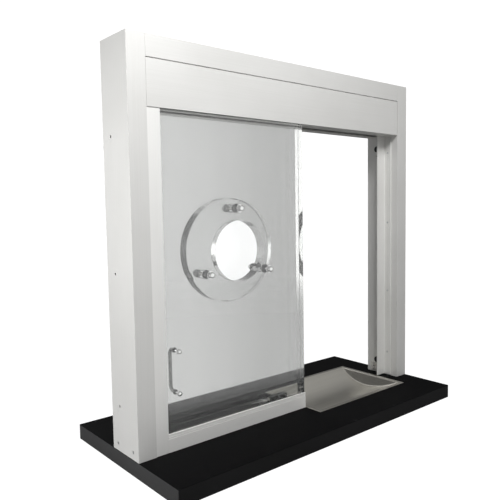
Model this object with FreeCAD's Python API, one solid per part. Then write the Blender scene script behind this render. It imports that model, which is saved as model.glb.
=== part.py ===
import FreeCAD
import Part
import math
import os

# Sliding service window on a black countertop, with a drop-in deal tray.
# Millimetres. X runs along the window, Y from the customer side to the staff side, Z up.
# The origin is the centre of the countertop's underside.

# Countertop
slab_length = 1000.0
slab_depth = 500.0
slab_thickness = 40.0
laminate_thickness = 1.0
edge_band_thickness = 1.0
edge_band_lift = 0.6

# Aluminium frame standing on the countertop
frame_front = -81.0
frame_depth = 126.0
frame_height = 965.0
jamb_width = 46.0
frame_wall = 3.0
header_beam_height = 50.0
beam_joint_width = 0.5
beam_joint_depth = 1.0
cap_thickness = 3.0

# Anchor holes through each jamb
anchor_hole_diameter = 7.0
anchor_hole_spacing = 316.0
anchor_hole_count = 3
anchor_first_height = 111.0
anchor_from_front = 87.0

# Foot cleats inside the jambs
cleat_height = 26.0
cleat_end_gap = 6.0
cleat_screw_height = 18.0
cleat_screw_from_front = (26.0, 101.0)
cleat_screw_diameter = 4.0
cleat_screw_length = 18.0
cleat_head_diameter = 8.0
cleat_head_recess = 0.2

# Header cover, back panel and soffit
cover_height = 107.0
cover_top_gap = 2.0
cover_left_gap = 0.4
cover_right_gap = 2.6
cover_return_depth = 12.0
clip_width = 24.0
clip_positions = (-310.0, -110.0, 110.0, 310.0)
clip_grip = 8.0
clip_depth = 28.0
soffit_thickness = 3.0
soffit_slot_gap = 3.0
soffit_lite_gap = 1.0

# Acrylic lites
lite_thickness = 32.0
lite_edge_chamfer = 0.8
fixed_lite_left = -448.0
fixed_lite_right = 28.5
fixed_lite_front = -75.0
fixed_lite_bottom = 48.0
fixed_lite_top = 876.0
sash_left = -415.0
sash_right = 49.5
sash_front = -25.0
sash_bottom = 46.5
sash_top = 890.0

# Glazing pieces around the fixed lite
stile_face_width = 34.0
stile_recess = 2.0
stile_wall = 2.5
rail_height = 44.0
rail_wall = 3.0
rail_rear_height = 34.0
bead_groove_width = 1.2
bead_groove_depth = 1.0
bead_groove_drops = (5.0, 9.5)
gasket_end_gap = 0.5
stile_gasket_gap = 1.0
front_gasket_height = 11.0
front_gasket_drop = 1.0
rear_gasket_thickness = 2.0
rear_gasket_height = 10.0
setting_block_length = 60.0
setting_block_positions = (-330.0, -100.0)
channel_wall = 2.0
channel_leg = 15.0
channel_gap = 0.5
hanger_strap_width = 24.0
hanger_strap_thickness = 4.0
hanger_strap_positions = (-400.0, -215.0, -30.0)

# Overhead track
track_width = 48.0
track_height = 42.0
track_wall = 3.0
track_slot = 14.0
track_screw_positions = (-430.0, -260.0, -90.0, 90.0, 260.0, 430.0)
track_screw_diameter = 5.0
track_screw_length = 8.0
track_screw_head_diameter = 9.0
track_screw_head_height = 2.5
end_stop_length = 20.0
end_stop_height = 20.0
end_stop_gap = 3.0

# Hangers and trolleys
hanger_offset = 75.0
trolley_length = 68.0
trolley_width = 16.0
trolley_height = 20.0
trolley_edge_radius = 3.0
wheel_radius = 14.0
wheel_width = 10.0
wheel_side_gap = 1.5
wheel_spacing = 40.0
wheel_edge_chamfer = 1.2
axle_diameter = 6.0
axle_running_gap = 0.05
axle_head_diameter = 9.0
axle_head_thickness = 0.8
axle_head_gap = 0.3
bracket_length = 90.0
bracket_plate = 6.0
bracket_flange = 3.0
bracket_drop = 30.0
bracket_bolt_spacing = 56.0
bracket_bolt_drop = 17.0
bracket_bolt_diameter = 8.0
bracket_head_diameter = 14.0
bracket_head_height = 4.0
hanger_stud_diameter = 10.0
hanger_nut_flats = 14.0
hanger_nut_height = 5.5

# Bottom guide behind the rail
guide_wall = 3.0
guide_base = 2.0
guide_height = 11.0
guide_liner_gap = 0.6
guide_rear_room = 2.0
guide_left = -453.0
guide_right = 28.0

# Closing side: stop angle, bumpers and strike plate
stop_face_width = 40.0
stop_leg_depth = 25.0
stop_thickness = 3.0
stop_sash_gap = 2.0
stop_foot_gap = 2.5
stop_screw_heights = (120.0, 330.0, 560.0, 790.0)
stop_screw_diameter = 4.0
stop_screw_length = 9.0
stop_head_diameter = 7.0
bumper_diameter = 20.0
bumper_thickness = 6.0
bumper_offset = 4.0
bumper_heights = (84.0, 806.0)
bumper_dome = 2.0
bumper_rest_gap = 0.3
strike_thickness = 2.0
strike_width = 22.0
strike_height = 28.0
strike_hole_diameter = 7.5
strike_screw_spacing = 20.0
strike_screw_diameter = 3.5
strike_screw_length = 7.0
strike_head_diameter = 6.0

# Speak hole and voice baffle
speak_centre_x = -166.0
speak_centre_z = 503.0
speak_hole_diameter = 163.0
baffle_diameter = 282.0
baffle_thickness = 32.0
baffle_gap = 21.5
baffle_edge_chamfer = 2.0
baffle_stud_circle = 225.0
baffle_stud_angles = (90.0, 210.0, 330.0)
baffle_stud_diameter = 10.0
baffle_spacer_diameter = 25.0
washer_diameter = 22.0
washer_thickness = 1.5
cap_nut_flats = 16.0
cap_nut_hex_height = 6.0
cap_nut_height = 13.0
cap_nut_dome_inset = 0.4
cap_nut_dome_ratio = 0.75
stud_end_engagement = 8.0

# Pull handle on the staff side
handle_x = -363.0
handle_low = 161.0
handle_span = 106.0
handle_rod_diameter = 9.0
handle_reach = 22.0
handle_bend_radius = 13.0
handle_screw_diameter = 5.0
handle_screw_reach = 4.0
handle_nut_flats = 11.0
handle_nut_hex_height = 3.5
handle_nut_height = 8.5
handle_foot_diameter = 13.0
handle_foot_thickness = 2.0

# Lock on the lower closing corner of the sash
lock_length = 60.0
lock_depth = 20.0
lock_height = 22.0
lock_bottom = 52.0
lock_end_inset = 42.0
lock_edge_radius = 3.0
lock_screw_gap = 5.0
lock_screw_end_offset = 9.0
lock_screw_diameter = 4.0
lock_head_diameter = 7.0
lock_head_height = 2.0
lock_head_margin = 0.5
lock_screw_bite = 12.0
plug_diameter = 11.0
plug_length = 22.0
plug_face_out = 1.0
plug_end_gap = 0.5
plug_top_wall = 2.5
lock_running_gap = 0.05
bolt_diameter = 6.0
bolt_length = 70.0
bolt_tip_inset = 1.5
bolt_height_in_case = 6.0
bolt_tip_chamfer = 1.2
bolt_throw = 16.0
bolt_pocket_spare = 2.0
keyway_width = 2.4
keyway_height = 7.0
keyway_end_gap = 0.5

# Keys on a ring
key_thickness = 2.2
key_blade_height = 6.4
key_blade_length = 18.0
key_neck = 7.0
bow_radius = 9.5
bow_overlap = 2.0
bow_hole_diameter = 5.0
bow_hole_offset = 6.0
ring_radius = 8.0
ring_wire = 0.9
spare_length = 22.0
spare_blade_width = 7.0
spare_tilt = 21.5

# Drop-in deal tray
tray_left = 29.5
tray_right = 416.0
tray_front = -138.0
tray_back = 132.0
tray_sheet = 1.5
tray_flange = 12.0
tray_basin_depth = 31.0
tray_end_slope = 22.0
tray_cutout_gap = 2.0

# How far cutting shapes run past the faces they cut, and how exactly edges are picked out
cut_margin = 1.0
parallel_limit = 0.99
same_place = 0.01

# Levels and lines worked out from the dimensions above
counter_top = slab_thickness
frame_back = frame_front + frame_depth
frame_top = counter_top + frame_height
left_jamb_inner = -slab_length / 2 + jamb_width
right_jamb_inner = slab_length / 2 - jamb_width
beam_bottom = frame_top - header_beam_height
cover_top = beam_bottom - cover_top_gap
cover_bottom = cover_top - cover_height
cover_back = frame_front + frame_wall
fixed_lite_back = fixed_lite_front + lite_thickness
sash_back = sash_front + lite_thickness
sash_centre_y = (sash_front + sash_back) / 2
stile_front = frame_front + stile_recess
stile_back = stile_front + stile_wall
rail_top = counter_top + rail_height
track_bottom = beam_bottom - track_height
track_floor = track_bottom + track_wall
axle_height = track_floor + wheel_radius
trolley_bottom = axle_height - trolley_height / 2
trolley_centres = (sash_left + hanger_offset, sash_right - hanger_offset)
wheel_inner_offset = trolley_width / 2 + wheel_side_gap
baffle_front = sash_back + baffle_gap
baffle_back = baffle_front + baffle_thickness
lock_right = sash_right - lock_end_inset
lock_left = lock_right - lock_length
lock_axis_y = sash_back + lock_depth / 2
lock_top = lock_bottom + lock_height
plug_axis_z = lock_top - plug_top_wall - plug_diameter / 2
bolt_axis_z = lock_bottom + bolt_height_in_case
bolt_right = sash_right - bolt_tip_inset
bow_centre_x = lock_left - plug_face_out - key_neck - bow_radius


def box(x0, x1, y0, y1, z0, z1):
    return Part.makeBox(x1 - x0, y1 - y0, z1 - z0, FreeCAD.Vector(x0, y0, z0))


def rod_x(x0, x1, y, z, diameter):
    start = FreeCAD.Vector(x0, y, z)
    return Part.makeCylinder(diameter / 2, x1 - x0, start, FreeCAD.Vector(1, 0, 0))


def rod_y(x, y0, y1, z, diameter):
    start = FreeCAD.Vector(x, y0, z)
    return Part.makeCylinder(diameter / 2, y1 - y0, start, FreeCAD.Vector(0, 1, 0))


def rod_z(x, y, z0, z1, diameter):
    start = FreeCAD.Vector(x, y, z0)
    return Part.makeCylinder(diameter / 2, z1 - z0, start, FreeCAD.Vector(0, 0, 1))


def prism(points, travel):
    """A straight prism on a closed outline."""
    face = Part.Face(Part.makePolygon(points + [points[0]]))
    return face.extrude(travel)


def group(solids):
    return Part.makeCompound(solids)


def cut_all(shape, tools):
    for tool in tools:
        shape = shape.cut(tool)
    return shape


def fuse_all(solids):
    shape = solids[0]
    for solid in solids[1:]:
        shape = shape.fuse(solid)
    return shape.removeSplitter()


def hex_bar(centre, direction, flats, height):
    """A hexagonal bar along +Y, -Y or +Z from its centre point."""
    outline = []
    corner_radius = flats / math.sqrt(3)
    for step in range(6):
        angle = math.radians(60 * step)
        a = corner_radius * math.cos(angle)
        b = corner_radius * math.sin(angle)
        if direction.z:
            outline.append(centre + FreeCAD.Vector(a, b, 0))
        else:
            outline.append(centre + FreeCAD.Vector(a, 0, b))
    return prism(outline, direction * height)


def cap_nut(x, y, z, side, flats, hex_height, height, bore):
    """A domed cap nut seated at y, with its dome towards side (+1 or -1 along Y)."""
    direction = FreeCAD.Vector(0, side, 0)
    seat = FreeCAD.Vector(x, y, z)
    body = hex_bar(seat, direction, flats, hex_height)
    dome_radius = flats / 2 - cap_nut_dome_inset
    dome_height = dome_radius * cap_nut_dome_ratio
    straight = height - hex_height - dome_height
    neck = Part.makeCylinder(dome_radius, hex_height + straight, seat, direction)
    top = seat + direction * (hex_height + straight)
    ball = Part.makeSphere(1.0, top)
    squash = FreeCAD.Matrix()
    squash.move(top * -1)
    squash.scale(dome_radius, dome_height, dome_radius)
    squash.move(top)
    dome = ball.copy().transformGeometry(squash)
    body = fuse_all([body, neck, dome])
    hole = Part.makeCylinder(bore / 2, stud_end_engagement, seat, direction)
    return body.cut(hole)


def screw_x(x_seat, y, z, diameter, length, head_diameter, side):
    """A countersunk screw along X: its flat head is at x_seat and it points towards side."""
    direction = FreeCAD.Vector(side, 0, 0)
    seat = FreeCAD.Vector(x_seat, y, z)
    head_height = (head_diameter - diameter) / 2
    head = Part.makeCone(head_diameter / 2, diameter / 2, head_height, seat, direction)
    shank = Part.makeCylinder(diameter / 2, length, seat, direction)
    return head.fuse(shank)


def tray_opening(grow):
    """The space inside the deal tray's basin, grown outwards by a wall thickness."""
    tray_top = counter_top + tray_sheet
    left = tray_left + tray_flange
    right = tray_right - tray_flange
    half_chord = (tray_back - tray_front) / 2 - tray_flange
    depth = tray_basin_depth
    radius = (half_chord**2 + depth**2) / (2 * depth)
    middle_y = (tray_front + tray_back) / 2
    centre_z = tray_top - depth + radius
    trough = rod_x(left - slab_depth, right + slab_depth, middle_y, centre_z, 2 * (radius + grow))
    slope = tray_end_slope / depth
    side_grow = grow * math.hypot(1, slope)
    low = tray_top - depth - grow
    drop = tray_top - low
    y0 = tray_front
    outline = [
        FreeCAD.Vector(left - side_grow, y0, tray_top),
        FreeCAD.Vector(right + side_grow, y0, tray_top),
        FreeCAD.Vector(right + side_grow - slope * drop, y0, low),
        FreeCAD.Vector(left - side_grow + slope * drop, y0, low),
    ]
    ends = prism(outline, FreeCAD.Vector(0, tray_back - tray_front, 0))
    return trough.common(ends)


def counter_cutout():
    """The rectangular hole in the countertop that the deal tray drops into."""
    margin = tray_flange - tray_cutout_gap
    return box(
        tray_left + margin,
        tray_right - margin,
        tray_front + margin,
        tray_back - margin,
        -cut_margin,
        slab_thickness + cut_margin,
    )


def countertop_core():
    half_x = slab_length / 2 - edge_band_thickness
    half_y = slab_depth / 2 - edge_band_thickness
    core = box(-half_x, half_x, -half_y, half_y, 0, slab_thickness - laminate_thickness)
    return core.cut(counter_cutout())


def countertop_laminate():
    half_x = slab_length / 2
    half_y = slab_depth / 2
    low = slab_thickness - laminate_thickness
    sheet = box(-half_x, half_x, -half_y, half_y, low, slab_thickness)
    return sheet.cut(counter_cutout())


def long_edge_band(side):
    half_x = slab_length / 2
    outer = side * slab_depth / 2
    inner = outer - side * edge_band_thickness
    top = slab_thickness - laminate_thickness
    return box(-half_x, half_x, min(outer, inner), max(outer, inner), edge_band_lift, top)


def short_edge_band(side):
    half_y = slab_depth / 2 - edge_band_thickness
    outer = side * slab_length / 2
    inner = outer - side * edge_band_thickness
    top = slab_thickness - laminate_thickness
    return box(min(outer, inner), max(outer, inner), -half_y, half_y, edge_band_lift, top)


def deal_tray():
    tray_top = counter_top + tray_sheet
    flange = box(tray_left, tray_right, tray_front, tray_back, counter_top, tray_top)
    shell = fuse_all([flange, tray_opening(tray_sheet)])
    return shell.cut(tray_opening(0.0))


def jamb_sides(side):
    """The outer and inner X limits of the jamb on side -1 (left) or +1 (right)."""
    outer = side * slab_length / 2
    inner = outer - side * jamb_width
    return outer, inner


def anchor_holes(side):
    outer, inner = jamb_sides(side)
    holes = []
    for step in range(anchor_hole_count):
        height = counter_top + anchor_first_height + step * anchor_hole_spacing
        y = frame_front + anchor_from_front
        low = min(outer, inner) - cut_margin
        high = max(outer, inner) + cut_margin
        holes.append(rod_x(low, high, y, height, anchor_hole_diameter))
    return holes


def cleat_screws_of(side):
    outer, _ = jamb_sides(side)
    seat = outer - side * cleat_head_recess
    screws = []
    for from_front in cleat_screw_from_front:
        y = frame_front + from_front
        z = counter_top + cleat_screw_height
        screws.append(
            screw_x(
                seat, y, z, cleat_screw_diameter, cleat_screw_length, cleat_head_diameter, -side
            )
        )
    return screws


def cleat_recesses(side):
    """The shallow mouths above the countersunk cleat screws."""
    outer, _ = jamb_sides(side)
    seat = outer - side * cleat_head_recess
    mouths = []
    for from_front in cleat_screw_from_front:
        y = frame_front + from_front
        z = counter_top + cleat_screw_height
        low = min(outer, seat)
        high = max(outer, seat)
        mouths.append(rod_x(low, high, y, z, cleat_head_diameter))
    return mouths


def jamb(side):
    outer, inner = jamb_sides(side)
    low = min(outer, inner)
    high = max(outer, inner)
    tube = box(low, high, frame_front, frame_back, counter_top, frame_top)
    hollow = box(
        low + frame_wall,
        high - frame_wall,
        frame_front + frame_wall,
        frame_back - frame_wall,
        counter_top,
        frame_top,
    )
    tube = tube.cut(hollow)
    tube = cut_all(tube, anchor_holes(side))
    tube = cut_all(tube, cleat_screws_of(side))
    tube = cut_all(tube, cleat_recesses(side))
    if side > 0:
        tube = tube.cut(strike_bore())
        tube = cut_all(tube, strike_screw_solids())
        tube = cut_all(tube, stop_screw_solids())
    return tube


def jamb_top_caps():
    caps = []
    for side in (-1, 1):
        outer, inner = jamb_sides(side)
        low = min(outer, inner) + frame_wall
        high = max(outer, inner) - frame_wall
        caps.append(
            box(
                low,
                high,
                frame_front + frame_wall,
                frame_back - frame_wall,
                frame_top - cap_thickness,
                frame_top,
            )
        )
    return group(caps)


def jamb_foot_cleats():
    cleats = []
    for side in (-1, 1):
        outer, inner = jamb_sides(side)
        low = min(outer, inner) + frame_wall
        high = max(outer, inner) - frame_wall
        cleat = box(
            low,
            high,
            frame_front + frame_wall + cleat_end_gap,
            frame_back - frame_wall - cleat_end_gap,
            counter_top,
            counter_top + cleat_height,
        )
        cleat = cut_all(cleat, cleat_screws_of(side))
        if side > 0:
            cleat = cleat.cut(strike_bore())
            cleat = cut_all(cleat, strike_screw_solids())
        cleats.append(cleat)
    return group(cleats)


def cleat_screws():
    return group(cleat_screws_of(-1) + cleat_screws_of(1))


def track_screw_shanks():
    shanks = []
    low = beam_bottom - track_wall
    for x in track_screw_positions:
        shanks.append(
            rod_z(x, sash_centre_y, low, low + track_screw_length, track_screw_diameter)
        )
    return shanks


def beam_end_joints():
    """The fine open joints around the beam where it meets the jambs."""
    joints = []
    depth = beam_joint_depth
    for low_x in (left_jamb_inner, right_jamb_inner - beam_joint_width):
        high_x = low_x + beam_joint_width
        whole = box(low_x, high_x, frame_front, frame_back, beam_bottom, frame_top)
        middle = box(
            low_x,
            high_x,
            frame_front + depth,
            frame_back - depth,
            beam_bottom + depth,
            frame_top - depth,
        )
        joints.append(whole.cut(middle))
    return joints


def header_beam():
    beam = box(
        left_jamb_inner, right_jamb_inner, frame_front, frame_back, beam_bottom, frame_top
    )
    hollow = box(
        left_jamb_inner,
        right_jamb_inner,
        frame_front + frame_wall,
        frame_back - frame_wall,
        beam_bottom + frame_wall,
        frame_top - frame_wall,
    )
    beam = beam.cut(hollow)
    beam = cut_all(beam, beam_end_joints())
    return cut_all(beam, track_screw_shanks())


def header_cover():
    left = left_jamb_inner + cover_left_gap
    right = right_jamb_inner - cover_right_gap
    face = box(left, right, frame_front, cover_back, cover_bottom, cover_top)
    top_return = box(
        left, right, cover_back, cover_back + cover_return_depth, cover_top - frame_wall, cover_top
    )
    return fuse_all([face, top_return])


def cover_clips():
    """Clips under the beam that grip the cover's top return from below and behind."""
    clips = []
    return_back = cover_back + cover_return_depth
    return_bottom = cover_top - frame_wall
    for x in clip_positions:
        low_x = x - clip_width / 2
        high_x = x + clip_width / 2
        block = box(
            low_x,
            high_x,
            return_back,
            return_back + clip_depth - clip_grip,
            return_bottom - frame_wall,
            beam_bottom,
        )
        tongue = box(
            low_x,
            high_x,
            return_back - clip_grip,
            return_back,
            return_bottom - frame_wall,
            return_bottom,
        )
        clips.append(fuse_all([block, tongue]))
    return group(clips)


def header_back_panel():
    left = left_jamb_inner
    right = right_jamb_inner
    return box(left, right, frame_back - frame_wall, frame_back, cover_bottom, beam_bottom)


def soffit_front():
    """The strip under the header between the two lites, wider beyond the fixed lite."""
    low = cover_bottom
    high = cover_bottom + soffit_thickness
    rear = sash_front - soffit_slot_gap
    front = fixed_lite_back + soffit_lite_gap
    narrow = box(left_jamb_inner, right_jamb_inner, front, rear, low, high)
    side = fixed_lite_right + soffit_lite_gap
    wide = box(side, right_jamb_inner, cover_back, rear, low, high)
    return fuse_all([narrow, wide])


def soffit_rear():
    low = cover_bottom
    high = cover_bottom + soffit_thickness
    front = sash_back + soffit_slot_gap
    return box(left_jamb_inner, right_jamb_inner, front, frame_back - frame_wall, low, high)


def top_track():
    front = sash_centre_y - track_width / 2
    back = sash_centre_y + track_width / 2
    outer = box(left_jamb_inner, right_jamb_inner, front, back, track_bottom, beam_bottom)
    hollow = box(
        left_jamb_inner,
        right_jamb_inner,
        front + track_wall,
        back - track_wall,
        track_floor,
        beam_bottom - track_wall,
    )
    slot = box(
        left_jamb_inner,
        right_jamb_inner,
        sash_centre_y - track_slot / 2,
        sash_centre_y + track_slot / 2,
        track_bottom,
        track_floor,
    )
    track = outer.cut(hollow)
    track = track.cut(slot)
    return cut_all(track, track_screw_shanks())


def travel_to_bumpers():
    return right_jamb_inner - bumper_thickness - bumper_rest_gap - sash_right


def track_end_stops():
    """Blocks in the track that catch the first and last trolley at the ends of the travel."""
    half = trolley_length / 2
    open_face = trolley_centres[0] - half - end_stop_gap
    closed_face = trolley_centres[1] + half + travel_to_bumpers() + end_stop_gap
    inner_half = track_width / 2 - track_wall
    blocks = []
    for low_x in (open_face - end_stop_length, closed_face):
        blocks.append(
            box(
                low_x,
                low_x + end_stop_length,
                sash_centre_y - inner_half,
                sash_centre_y + inner_half,
                track_floor,
                track_floor + end_stop_height,
            )
        )
    return group(blocks)


def track_screws():
    screws = []
    seat = beam_bottom - track_wall
    for x, shank in zip(track_screw_positions, track_screw_shanks()):
        head = rod_z(
            x, sash_centre_y, seat - track_screw_head_height, seat, track_screw_head_diameter
        )
        screws.append(fuse_all([head, shank]))
    return group(screws)


def left_stile():
    face = box(
        left_jamb_inner,
        left_jamb_inner + stile_face_width,
        stile_front,
        stile_back,
        counter_top,
        cover_bottom,
    )
    leg = box(
        left_jamb_inner,
        left_jamb_inner + stile_wall,
        stile_back,
        fixed_lite_back,
        counter_top,
        cover_bottom,
    )
    return fuse_all([face, leg])


def bottom_rail():
    """A U-shaped rail: a tall front wall with two bead grooves, a base and a lower rear wall."""
    left = left_jamb_inner + stile_face_width
    right = fixed_lite_right
    wall_back = stile_front + rail_wall
    rear_front = fixed_lite_back + rear_gasket_thickness
    rear_back = rear_front + rail_wall
    front = box(left, right, stile_front, wall_back, counter_top, rail_top)
    base = box(left, right, wall_back, rear_front, counter_top, counter_top + rail_wall)
    rear = box(left, right, rear_front, rear_back, counter_top, counter_top + rail_rear_height)
    rail = fuse_all([front, base, rear])
    for drop in bead_groove_drops:
        high = rail_top - drop
        groove = box(
            left,
            right,
            stile_front,
            stile_front + bead_groove_depth,
            high - bead_groove_width,
            high,
        )
        rail = rail.cut(groove)
    return rail


def setting_blocks():
    blocks = []
    for x in setting_block_positions:
        blocks.append(
            box(
                x - setting_block_length / 2,
                x + setting_block_length / 2,
                fixed_lite_front,
                fixed_lite_back,
                counter_top + rail_wall,
                fixed_lite_bottom,
            )
        )
    return group(blocks)


def glazing_gaskets():
    """Rubber strips in front of, beside and behind the fixed lite."""
    rail_left = left_jamb_inner + stile_face_width
    stile_strip = box(
        fixed_lite_left,
        rail_left - stile_gasket_gap,
        stile_back,
        fixed_lite_front,
        rail_top,
        cover_bottom,
    )
    side_strip = box(
        left_jamb_inner + stile_wall,
        fixed_lite_left,
        fixed_lite_front,
        fixed_lite_back,
        fixed_lite_bottom,
        cover_bottom,
    )
    front_strip = box(
        rail_left,
        fixed_lite_right - gasket_end_gap,
        stile_front + rail_wall,
        fixed_lite_front,
        rail_top - front_gasket_drop - front_gasket_height,
        rail_top - front_gasket_drop,
    )
    rear_strip = box(
        rail_left,
        fixed_lite_right - gasket_end_gap,
        fixed_lite_back,
        fixed_lite_back + rear_gasket_thickness,
        counter_top + rail_rear_height - rear_gasket_height,
        counter_top + rail_rear_height,
    )
    return group([stile_strip, side_strip, front_strip, rear_strip])


def top_glazing_channel():
    front = fixed_lite_front - channel_gap - channel_wall
    back = fixed_lite_back + channel_gap + channel_wall
    web_bottom = fixed_lite_top + channel_gap
    web_top = web_bottom + channel_wall
    outer = box(fixed_lite_left, fixed_lite_right, front, back, web_top - channel_leg, web_top)
    inner = box(
        fixed_lite_left,
        fixed_lite_right,
        front + channel_wall,
        back - channel_wall,
        web_top - channel_leg,
        web_bottom,
    )
    return outer.cut(inner)


def channel_hangers():
    straps = []
    low = fixed_lite_top + channel_gap + channel_wall
    middle = (fixed_lite_front + fixed_lite_back) / 2
    for x in hanger_strap_positions:
        straps.append(
            box(
                x - hanger_strap_width / 2,
                x + hanger_strap_width / 2,
                middle - hanger_strap_thickness / 2,
                middle + hanger_strap_thickness / 2,
                low,
                beam_bottom,
            )
        )
    return group(straps)


def soften_vertical_edges(shape):
    """Chamfer the four long upright corners of a lite."""
    corners = []
    for edge in shape.Edges:
        upright = abs(edge.tangentAt(edge.FirstParameter).z) > parallel_limit
        if upright and len(edge.Vertexes) == 2:
            corners.append(edge)
    return shape.makeChamfer(lite_edge_chamfer, corners)


def fixed_lite():
    lite = box(
        fixed_lite_left,
        fixed_lite_right,
        fixed_lite_front,
        fixed_lite_back,
        fixed_lite_bottom,
        fixed_lite_top,
    )
    return soften_vertical_edges(lite)


def bottom_guide_channel():
    flange_back = sash_front - guide_wall
    front = flange_back - guide_wall
    back = sash_back + guide_rear_room + guide_wall
    low = counter_top + guide_base
    flange_top = counter_top + guide_height
    base = box(guide_left, guide_right, front, back, counter_top, low)
    front_flange = box(guide_left, guide_right, front, flange_back, low, flange_top)
    back_flange = box(guide_left, guide_right, back - guide_wall, back, low, flange_top)
    return fuse_all([base, front_flange, back_flange])


def guide_liners():
    low = counter_top + guide_base
    high = counter_top + guide_height
    front_wall = sash_front - guide_wall
    back_wall = sash_back + guide_rear_room
    front = box(guide_left, guide_right, front_wall, sash_front - guide_liner_gap, low, high)
    back = box(guide_left, guide_right, sash_back + guide_liner_gap, back_wall, low, high)
    return group([front, back])


def stop_angle_body():
    back = sash_front - stop_sash_gap
    front = back - stop_thickness
    low = counter_top + stop_foot_gap
    left = right_jamb_inner - stop_face_width
    face = box(left, right_jamb_inner, front, back, low, cover_bottom)
    leg = box(
        right_jamb_inner - stop_thickness,
        right_jamb_inner,
        front - stop_leg_depth,
        front,
        low,
        cover_bottom,
    )
    return fuse_all([face, leg])


def stop_screw_solids():
    screws = []
    leg_middle = sash_front - stop_sash_gap - stop_thickness - stop_leg_depth / 2
    seat = right_jamb_inner - stop_thickness
    for height in stop_screw_heights:
        screws.append(
            screw_x(
                seat,
                leg_middle,
                height,
                stop_screw_diameter,
                stop_screw_length,
                stop_head_diameter,
                1,
            )
        )
    return screws


def right_stop_angle():
    return cut_all(stop_angle_body(), stop_screw_solids())


def stop_screws():
    return group(stop_screw_solids())


def closing_bumpers():
    bumpers = []
    seat = right_jamb_inner
    for height in bumper_heights:
        start = FreeCAD.Vector(seat, bumper_offset, height)
        direction = FreeCAD.Vector(-1, 0, 0)
        pad = Part.makeCylinder(bumper_diameter / 2, bumper_thickness, start, direction)
        tip = seat - bumper_thickness
        rim = [edge for edge in pad.Edges if edge.BoundBox.XMax < tip + same_place]
        bumpers.append(pad.makeChamfer(bumper_dome, rim))
    return group(bumpers)


def strike_bore():
    """The hole that the lock bolt enters, through the strike plate, jamb wall and cleat."""
    low = right_jamb_inner - strike_thickness
    high = right_jamb_inner + frame_wall + bolt_throw
    return rod_x(low, high, lock_axis_y, bolt_axis_z, strike_hole_diameter)


def strike_screw_solids():
    screws = []
    seat = right_jamb_inner - strike_thickness
    for side in (-1, 1):
        z = bolt_axis_z + side * strike_screw_spacing / 2
        screws.append(
            screw_x(
                seat,
                lock_axis_y,
                z,
                strike_screw_diameter,
                strike_screw_length,
                strike_head_diameter,
                1,
            )
        )
    return screws


def strike_plate():
    plate = box(
        right_jamb_inner - strike_thickness,
        right_jamb_inner,
        lock_axis_y - strike_width / 2,
        lock_axis_y + strike_width / 2,
        bolt_axis_z - strike_height / 2,
        bolt_axis_z + strike_height / 2,
    )
    plate = plate.cut(strike_bore())
    return cut_all(plate, strike_screw_solids())


def strike_screws():
    return group(strike_screw_solids())


def baffle_stud_points():
    """The X and Z of each baffle stud."""
    points = []
    for angle in baffle_stud_angles:
        x = speak_centre_x + baffle_stud_circle / 2 * math.cos(math.radians(angle))
        z = speak_centre_z + baffle_stud_circle / 2 * math.sin(math.radians(angle))
        points.append((x, z))
    return points


def bracket_bolt_points():
    """The X and Z of each clamp bolt through the top of the sash."""
    points = []
    for centre in trolley_centres:
        for side in (-1, 1):
            x = centre + side * bracket_bolt_spacing / 2
            points.append((x, sash_top - bracket_bolt_drop))
    return points


def handle_heights():
    return (handle_low, handle_low + handle_span)


def lock_screw_places():
    """The X of each lock screw: one beyond the plug and one near the end, above the bolt."""
    beyond_plug = lock_left + plug_length + lock_screw_gap
    near_end = lock_right - lock_screw_end_offset
    return (beyond_plug, near_end)


def lock_screw_solids():
    screws = []
    head_seat = sash_back + lock_depth
    low = sash_back - lock_screw_bite
    z = lock_top - lock_head_diameter / 2 - lock_head_margin
    for x in lock_screw_places():
        shank = rod_y(x, low, head_seat, z, lock_screw_diameter)
        head = rod_y(x, head_seat, head_seat + lock_head_height, z, lock_head_diameter)
        screws.append(fuse_all([shank, head]))
    return screws


def sliding_lite():
    lite = box(sash_left, sash_right, sash_front, sash_back, sash_bottom, sash_top)
    lite = soften_vertical_edges(lite)
    before = sash_front - cut_margin
    after = sash_back + cut_margin
    holes = [rod_y(speak_centre_x, before, after, speak_centre_z, speak_hole_diameter)]
    for x, z in baffle_stud_points():
        holes.append(rod_y(x, before, after, z, baffle_stud_diameter))
    for x, z in bracket_bolt_points():
        holes.append(rod_y(x, before, after, z, bracket_bolt_diameter))
    for z in handle_heights():
        holes.append(rod_y(handle_x, before, after, z, handle_screw_diameter))
    return cut_all(cut_all(lite, holes), lock_screw_solids())


def baffle_disc():
    disc = rod_y(speak_centre_x, baffle_front, baffle_back, speak_centre_z, baffle_diameter)
    disc = disc.makeChamfer(baffle_edge_chamfer, disc.Edges)
    for x, z in baffle_stud_points():
        disc = disc.cut(rod_y(x, baffle_front, baffle_back, z, baffle_stud_diameter))
    return disc


def baffle_spacers():
    spacers = []
    for x, z in baffle_stud_points():
        sleeve = rod_y(x, sash_back, baffle_front, z, baffle_spacer_diameter)
        spacers.append(sleeve.cut(rod_y(x, sash_back, baffle_front, z, baffle_stud_diameter)))
    return group(spacers)


def baffle_studs():
    low = sash_front - washer_thickness - stud_end_engagement
    high = baffle_back + washer_thickness + stud_end_engagement
    return group([rod_y(x, low, high, z, baffle_stud_diameter) for x, z in baffle_stud_points()])


def baffle_washers():
    washers = []
    for x, z in baffle_stud_points():
        for low in (sash_front - washer_thickness, baffle_back):
            high = low + washer_thickness
            ring = rod_y(x, low, high, z, washer_diameter)
            washers.append(ring.cut(rod_y(x, low, high, z, baffle_stud_diameter)))
    return group(washers)


def baffle_cap_nuts():
    nuts = []
    seats = ((sash_front - washer_thickness, -1), (baffle_back + washer_thickness, 1))
    for x, z in baffle_stud_points():
        for seat, side in seats:
            nuts.append(
                cap_nut(
                    x,
                    seat,
                    z,
                    side,
                    cap_nut_flats,
                    cap_nut_hex_height,
                    cap_nut_height,
                    baffle_stud_diameter,
                )
            )
    return group(nuts)


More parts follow.
